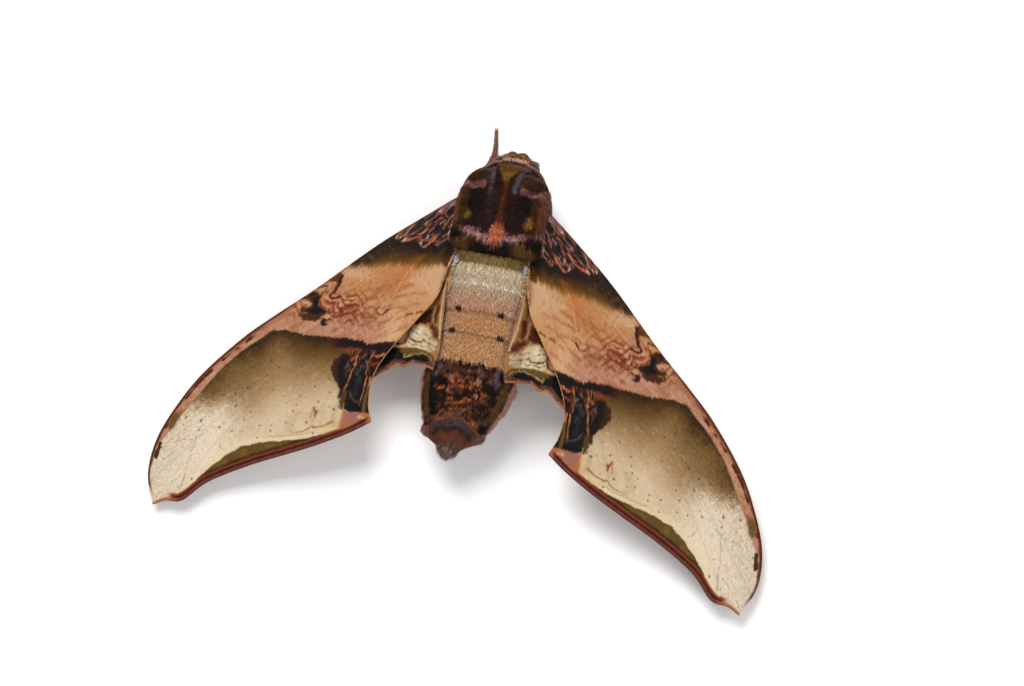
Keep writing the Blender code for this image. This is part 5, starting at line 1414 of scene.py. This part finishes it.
    wing.stroke((196, 104, 56), 0.5, (13.9, 27.5), (13.9, 28.4), (14.6, 29.1), strength=0.8, soften=0.2)
    wing.stroke((220, 196, 152), 0.7, (18.4, 27.6), (18.4, 30.0), (21.0, 30.6), strength=0.7, soften=0.3)

    # wave lines and small marks of the outer field
    wing.stroke((146, 100, 50), 0.26, (19.2, 29.1), (20.2, 29.7), (21.0, 30.0), (22.0, 30.4),
        (22.4, 30.2), (22.8, 30.8), (23.6, 31.2), (25.4, 31.7), strength=0.7)
    wing.stroke((214, 190, 148), 0.2, (19.4, 29.6), (21.0, 30.4), (22.6, 31.0), (24.6, 31.8),
        strength=0.7)
    wing.stroke((136, 70, 34), 0.26, (22.5, 27.4), (22.4, 27.9), (22.15, 28.2), (22.05, 28.8),
        strength=0.85)
    wing.stroke((150, 92, 52), 0.12, (22.65, 28.0), (22.9, 29.0), strength=0.6)
    wing.patch((96, 74, 34), (43.5, 31.0), (44.7, 31.8), (45.2, 33.6), (44.6, 34.4), (43.9, 33.2),
        strength=0.85, soften=0.4)
    wing.stroke((60, 32, 14), 0.6, (45.7, 36.4), (46.0, 38.4), strength=0.9)
    wing.spot((160, 96, 70), 41.0, 30.2, 0.35, 0.5)

    # margin: olive lens, red-brown band and dusky fringe
    rim = to_line(u, v, outer)
    lens = to_shape(wing.warp_u, wing.warp_v,
        ((20.3, 31.3), (22.4, 32.0), (24.0, 32.5), (27.0, 33.1), (30.0, 33.8), (33.0, 35.0), (35.0, 36.6),
        (37.0, 38.6), (38.6, 40.5), (39.8, 42.6), (37.0, 41.2), (31.0, 38.0), (22.0, 34.0)))
    wing.wash((226, 208, 172), 0.8 * soft(1.5, 0.5, lens) * soft(20.0, 23.0, u))
    wing.wash((184, 150, 104), 0.6 * hump(lens, 0.75, 0.16) * soft(20.0, 23.0, u) * soft(31.0, 28.0, u))
    wing.wash((98, 74, 28), 0.96 * soft(0.16, -0.1, lens))
    wing.wash((140, 112, 58), 0.5 * soft(-0.2, -0.6, lens) * soft(-0.1, 0.5, mottle(u, v, 1.4, 65)))
    wing.wash((52, 28, 10), 0.85 * soft(1.8, 1.0, rim + rag) * soft(0.1, -0.1, lens)
        * soft(28.0, 34.0, v + 0.2 * (38 - u)))
    away = soft(13.6, 14.6, u)
    along = soft(42.6, 41.0, u) * away
    wing.wash((136, 64, 30), 0.95 * soft(1.2, 0.95, rim + 0.8 * rag) * soft(17.2, 18.4, u)
        * soft(43.2, 41.6, u))
    wing.wash(RED_BROWN, 0.95 * soft(0.95, 0.7, rim + rag) * along)
    wing.wash((58, 22, 14), 0.85 * soft(0.24, 0.1, np.abs(rim - 0.56) + 0.5 * rag) * along)
    wing.wash(PURPLE_BROWN, 0.9 * soft(0.42, 0.3, rim + 0.5 * rag) * along)
    wing.wash((150, 84, 56), 0.5 * soft(0.12, 0.04, np.abs(rim - 0.34))
        * soft(-0.2, 0.3, grain(u, v, 0.5, 71)) * along)
    wing.wash((176, 108, 58), 0.9 * soft(0.5, 0.2, rim) * soft(40.6, 42.4, u) * soft(45.4, 44.2, u))

    # costal strip
    strip = level(u, ((27.0, 2.2), (31.0, 1.4), (34.0, 1.05), (38.0, 0.85), (42.0, 0.75), (45.0, 0.6),
        (47.0, 0.4)))
    upto = soft(28.0, 31.0, u) * soft(40.5, 37.5, v)
    wing.wash((152, 100, 64), 0.85 * soft(0.75 * strip + 0.2, 0.75 * strip - 0.2, lead + 0.7 * rag)
        * upto)
    wing.wash((176, 122, 98), 0.6 * soft(0.25, 0.05, np.abs(lead - 0.5 * strip) + rag) * upto)
    wing.wash((120, 56, 30), 0.8 * soft(0.4, 0.1, np.abs(lead - 0.3 * strip) + rag) * upto
        * soft(32.0, 34.5, u))
    dash = soft(0.0, 0.5, grain(u, v, 1.3, 81) + 0.2)
    wing.wash((54, 24, 12), 0.85 * soft(0.26, 0.05, np.abs(lead - 0.84 * strip) + rag) * dash * upto
        * soft(32.0, 34.0, u))
    wing.wash((84, 38, 22), 0.9 * soft(0.42, 0.15, lead) * upto)
    wing.wash((76, 44, 38), 0.8 * soft(0.5, 0.2, lead) * soft(34.0, 38.0, v) * soft(44.5, 42.0, v))
    wing.wash((140, 80, 48), 0.6 * soft(0.4, 0.15, lead) * soft(5.0, 7.0, v) * soft(29.0, 27.0, u))

    # olive band below the base patch
    lower = level(u, ((5.0, 3.9), (6.5, 4.2), (8.0, 4.5), (10.0, 4.95), (12.0, 5.0), (14.0, 5.1),
        (16.0, 5.4), (18.0, 5.8), (22.0, 6.3)))
    hair = 0.5 * streaks(u, v, 1.25, 1.2, 0.2, 91)
    below = soft(lower + 0.55, lower - 0.9, v + hair + rag)
    base = wing.paint
    wing.paint = ramp(lower - v, (0.0, 1.2, 2.4, 3.6),
        ((126, 90, 36), (88, 60, 16), (56, 36, 9), (34, 20, 7)))
    wing.wash(OLIVE_DARK, 0.85 * soft(12.0, 16.0, u) * soft(2.8, 0.8, lead))
    wing.wash((142, 108, 52), 0.4 * soft(0.0, 0.7, streaks(u, v, 1.0, 1.0, 0.16, 92))
        * soft(13.0, 8.0, u))
    wing.wash((104, 78, 44), 0.5 * soft(0.1, 0.6, mottle(u, v, 0.7, 94)) * soft(12.0, 15.0, u))
    wing.stroke((160, 88, 38), 1.1, (10.6, 3.2), (11.4, 4.2), (12.6, 5.4), strength=0.55, soften=0.7)
    grit = soft(0.2, 0.6, grain(u, v, 0.3, 93))
    wing.wash((130, 116, 96), 0.2 * grit
        * soft(0.5, 0.15, to_line(u, v, ((15.6, 2.3), (18.6, 5.0))) + 1.5 * rag))
    wing.paint = base + (wing.paint - base) * below[..., None]

    wing.paint = np.clip(0.9 * wing.paint - 13.0, 4.0, 255.0)

    # base patch: black, with short orange and rosy strokes along the veins and a jagged lower edge
    jag = level(u, ((5.5, 1.4), (6.6, 1.2), (7.2, 0.6), (7.8, 1.1), (8.4, 1.7), (8.9, 1.5), (9.4, 1.1),
        (10.0, 1.7), (10.6, 2.15), (11.1, 2.0), (11.5, 1.2), (12.4, 1.1), (13.4, 1.4), (14.0, 1.6),
        (14.8, 1.5), (15.3, 1.2), (15.7, 0.2), (17.0, -3.0)))
    wing.wash((20, 13, 8), 0.95 * soft(1.5, 0.3, v - jag + hair * 0.5) * soft(14.6, 12.6, u))
    wing.wash((24, 16, 15), 0.97 * soft(0.16, -0.12, v - jag + rag))
    inner = soft(0.1, -0.3, v - jag)
    stripe = streaks(u, v, 0.84, 1.2, 0.26, 95)
    wing.wash((88, 48, 36), 0.8 * soft(0.0, 0.3, stripe) * inner)
    wing.wash((150, 84, 58), 0.7 * soft(0.3, 0.5, stripe) * inner)
    wing.wash((150, 112, 108), 0.6 * soft(0.3, 0.55, -stripe) * soft(0.1, 0.3, mottle(u, v, 1.2, 98))
        * inner)
    wing.stroke((112, 64, 44), 0.7, (8.4, -4.9), (10.2, -3.7), (12.0, -2.1), (13.6, -0.7), strength=0.6,
        soften=0.3)
    wing.patch((140, 104, 104), (6.9, -5.6), (8.0, -5.1), (8.1, -4.5), (7.8, -4.0), (7.3, -4.6),
        (6.8, -4.8), strength=0.7, soften=0.25)
    wing.patch((142, 98, 90), (8.3, -4.9), (9.0, -4.5), (9.35, -3.8), (9.2, -3.2), (8.6, -3.3),
        (8.2, -4.2), strength=0.65, soften=0.25)
    wing.spot((206, 192, 200), 9.15, -3.6, 0.14)
    wing.stroke((18, 14, 18), 0.4, (7.0, -4.5), (7.2, -4.0), (7.4, -3.6))
    wing.spot((12, 9, 9), 7.45, -3.55, 0.46)
    for colour, width, line in (
        ((188, 128, 102), 0.4, ((6.4, -5.6), (6.4, -3.5), (6.5, -2.0), (6.9, -1.0), (7.1, -0.1))),
        ((200, 170, 172), 0.16, ((6.7, -4.6), (6.7, -2.6), (7.0, -1.5), (7.1, -0.5))),
        ((206, 120, 76), 0.24, ((7.1, 0.2), (7.9, 1.0), (8.4, 1.5), (8.8, 1.4), (8.7, 0.8))),
        ((178, 106, 74), 0.24, ((7.6, -4.3), (8.1, -3.7), (8.2, -3.1), (7.7, -2.8))),
        ((150, 78, 50), 0.55, ((7.5, -2.2), (7.9, -1.5), (8.1, -1.1))),
        ((176, 140, 142), 0.3, ((8.1, -2.3), (8.5, -1.8))),
        ((196, 92, 50), 0.28, ((8.5, -2.75), (9.1, -2.4), (9.7, -1.95))),
        ((124, 98, 98), 0.3, ((9.5, -3.0), (10.2, -2.3), (11.2, -1.5))),
        ((206, 112, 74), 0.3, ((10.5, -0.85), (11.0, -0.5), (11.5, 0.0), (11.9, 0.15))),
        ((204, 118, 72), 0.28, ((9.0, 0.3), (9.5, 0.8), (9.9, 1.3), (10.5, 1.85), (11.0, 1.75),
            (11.4, 1.2))),
        ((190, 104, 62), 0.24, ((9.4, 0.1), (9.9, 0.8))),
        ((140, 116, 124), 0.4, ((10.3, 0.2), (10.3, 0.9))),
        ((166, 140, 142), 0.3, ((11.2, 0.7), (11.2, 1.3))),
        ((186, 92, 52), 0.3, ((11.4, 0.4), (12.1, 0.6), (12.7, 0.95), (13.6, 1.1))),
        ((190, 128, 106), 0.24, ((11.9, -0.6), (12.5, 0.05), (13.1, 0.3))),
        ((210, 154, 126), 0.28, ((12.8, -1.6), (13.3, -0.6), (13.9, 0.4), (14.6, 0.95))),
        ((146, 82, 46), 0.3, ((13.2, -1.3), (14.0, -0.1), (14.6, 0.5))),
        ((202, 146, 122), 0.5, ((13.8, 1.0), (14.1, 1.3))),
        ((196, 142, 120), 0.5, ((14.4, -0.3), (15.0, 0.4), (15.1, 1.0))),
        ((10, 8, 8), 0.9, ((9.0, -1.4), (9.4, -0.6))),
        ((12, 9, 9), 0.8, ((11.6, -2.4), (12.2, -1.2))),
        ((14, 10, 9), 0.5, ((7.3, -1.2), (7.8, -0.4))),
        ((14, 10, 9), 0.4, ((7.7, 0.3), (8.3, 0.8))),
        ((14, 10, 9), 0.4, ((10.3, 1.3), (10.9, 1.1))),
        ((24, 15, 18), 0.4, ((12.9, 0.4), (13.4, 0.7))),
    ):
        wing.stroke(colour, 0.6 * width, *line, strength=0.8, soften=0.14)
    wing.stroke((70, 36, 24), 0.3, (12.2, -2.0), (14.0, -0.5), (16.0, 1.2), strength=0.6)

    # scattered dark specks
    cell = 1.9
    jitter_u = u + 0.9 * grain(u, v, 4.1, 101)
    jitter_v = v + 0.9 * grain(u, v, 3.7, 105)
    column, row = np.floor(jitter_u / cell), np.floor(jitter_v / cell)
    pick_u = cell * (column + 0.5 + 0.45 * grain(column * 7.31, row * 5.17, 1.0, 102))
    pick_v = cell * (row + 0.5 + 0.45 * grain(column * 6.73, row * 7.91, 1.0, 103))
    size = 0.08 + 0.14 * grain(column * 5.33, row * 6.29, 1.0, 104)
    dots = soft(size + 0.06, size - 0.03, np.hypot(jitter_u - pick_u, jitter_v - pick_v))
    wing.wash((70, 48, 36), 0.75 * dots * outside * soft(19.0, 22.0, u))
    for spot in ((19.4, 27.3, 0.16), (23.3, 29.8, 0.17), (22.1, 26.5, 0.14), (25.8, 28.4, 0.14),
            (26.5, 30.3, 0.15), (28.8, 31.0, 0.14), (33.2, 30.8, 0.15)):
        wing.spot((76, 52, 40), *spot, 0.75)
    return wing.paint


fore_veins = [smooth_line(line, 1.0) for line in FOREWING_VEINS]
fore_costa = smooth_line(FOREWING_COSTA, 0.5)
fore_outer, fore_inner = smooth_line(FOREWING_OUTER, 0.5), smooth_line(FOREWING_INNER, 0.5)
fore_trail = (fore_outer[:-1] + fore_inner)[::-1]
FORE_ROWS, FORE_COLUMNS = 460, 142
fore_place = wing_net(fore_costa, fore_trail, FORE_ROWS, FORE_COLUMNS)
fore_u, fore_v = fore_place[..., 0], fore_place[..., 1]
fore_paint = paint_forewing(fore_u, fore_v, fore_veins, fore_costa, fore_outer)
fore_under = paint_underside(fore_u, fore_v, fore_outer, fore_veins)
for side_name in WINGS:
    wing = make_wing("forewing_sheet_" + side_name, side_name, fore_costa, fore_trail, fore_veins,
        WING_SPACING, fore_paint, fore_under, FORE_ROWS, FORE_COLUMNS, wing_material)
    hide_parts("forewing_" + side_name)


def edge_fringe(name, side_name, line, over, colours, length):
    """A row of narrow scales that stands out all along an edge of a wing."""
    sign, droop = WINGS[side_name]
    count = int(26 * np.sum(np.linalg.norm(np.diff(np.array(line), axis=0), axis=1)))
    spot = even_line(line, count)
    ahead = np.gradient(spot, axis=0)
    ahead /= np.linalg.norm(ahead, axis=1, keepdims=True)
    out_u, out_v = -ahead[:, 1], ahead[:, 0]
    u, v = spot[:, 0] - 0.1 * out_u, spot[:, 1] - 0.1 * out_v
    z = wing_height(u, v, droop, over) + chance.uniform(-0.03, 0.03, count)
    at = np.stack((sign * (HINGE_X + (u - HINGE_X) * math.cos(droop)), v, z), -1)
    slope = wing_height(u + out_u, v + out_v, droop, over) - z
    heading = np.stack((sign * out_u * math.cos(droop), out_v, np.clip(slope, -0.5, 0.5)), -1)
    heading /= np.linalg.norm(heading, axis=1, keepdims=True)
    outward = np.array((0.0, 0.0, 1.0)) - heading * heading[:, 2:3]
    outward /= np.linalg.norm(outward, axis=1, keepdims=True)
    tone = np.array(colours, float)[chance.integers(0, len(colours), count)]
    places = np.stack((0.03 + 0.9 * np.arange(count) / count, np.full(count, 0.5)), -1)
    fringe = grow_tufts(name, at, outward, heading, length, 0.13, 3.0, tone, places, fur_material)


def root_hair(side_name, count=1300):
    """Long soft hair over the inner edge of the forewing beside the abdomen."""
    sign, droop = WINGS[side_name]
    v = chance.uniform(-1.6, 3.6, count)
    inner_edge = np.array(sorted(fore_inner, key=lambda point: point[1]))
    u = np.interp(v, inner_edge[:, 1], inner_edge[:, 0]) + 0.25 + np.abs(chance.normal(0.0, 0.5, count))
    tone = paint_forewing(u + 0.2, v + 0.5, fore_veins, fore_costa, fore_outer) * chance.uniform(0.85,
        1.1, (count, 1))
    z = wing_height(u, v, droop, WING_SPACING) + 0.12
    slope = wing_height(u - 0.15, v + 1.0, droop, WING_SPACING) + 0.12 - z
    at = np.stack((sign * (HINGE_X + (u - HINGE_X) * math.cos(droop)), v, z), -1)
    heading = np.stack((np.full(count, -0.12 * sign), np.ones(count), np.clip(slope, -0.4, 0.4)), -1)
    heading /= np.linalg.norm(heading, axis=1, keepdims=True)
    outward = np.array((0.0, 0.0, 1.0)) - heading * heading[:, 2:3]
    outward /= np.linalg.norm(outward, axis=1, keepdims=True)
    places = np.stack((0.05 + 0.1 * (u - 4.0), 0.05 + 0.9 * (v + 1.6) / 13.1), -1)
    hair = grow_tufts("root_hair_" + side_name, at, outward, heading, 1.0, 0.1, 6.0, tone, places,
        fur_material)


for side_name in WINGS:
    edge_fringe("forewing_fringe_" + side_name, side_name, fore_outer, WING_SPACING,
        ((96, 52, 46), (120, 66, 48), (70, 36, 30)), 0.45)
    edge_fringe("forewing_inner_fringe_" + side_name, side_name, fore_inner, WING_SPACING,
        ((176, 120, 76), (206, 160, 116), (150, 96, 58)), 0.4)
    edge_fringe("hindwing_fringe_" + side_name, side_name, smooth_line(HINDWING_TRAIL[7:14], 0.4)[::-1],
        0.0, ((150, 96, 78), (190, 132, 90), (110, 66, 56)), 0.4)
    root_hair(side_name)
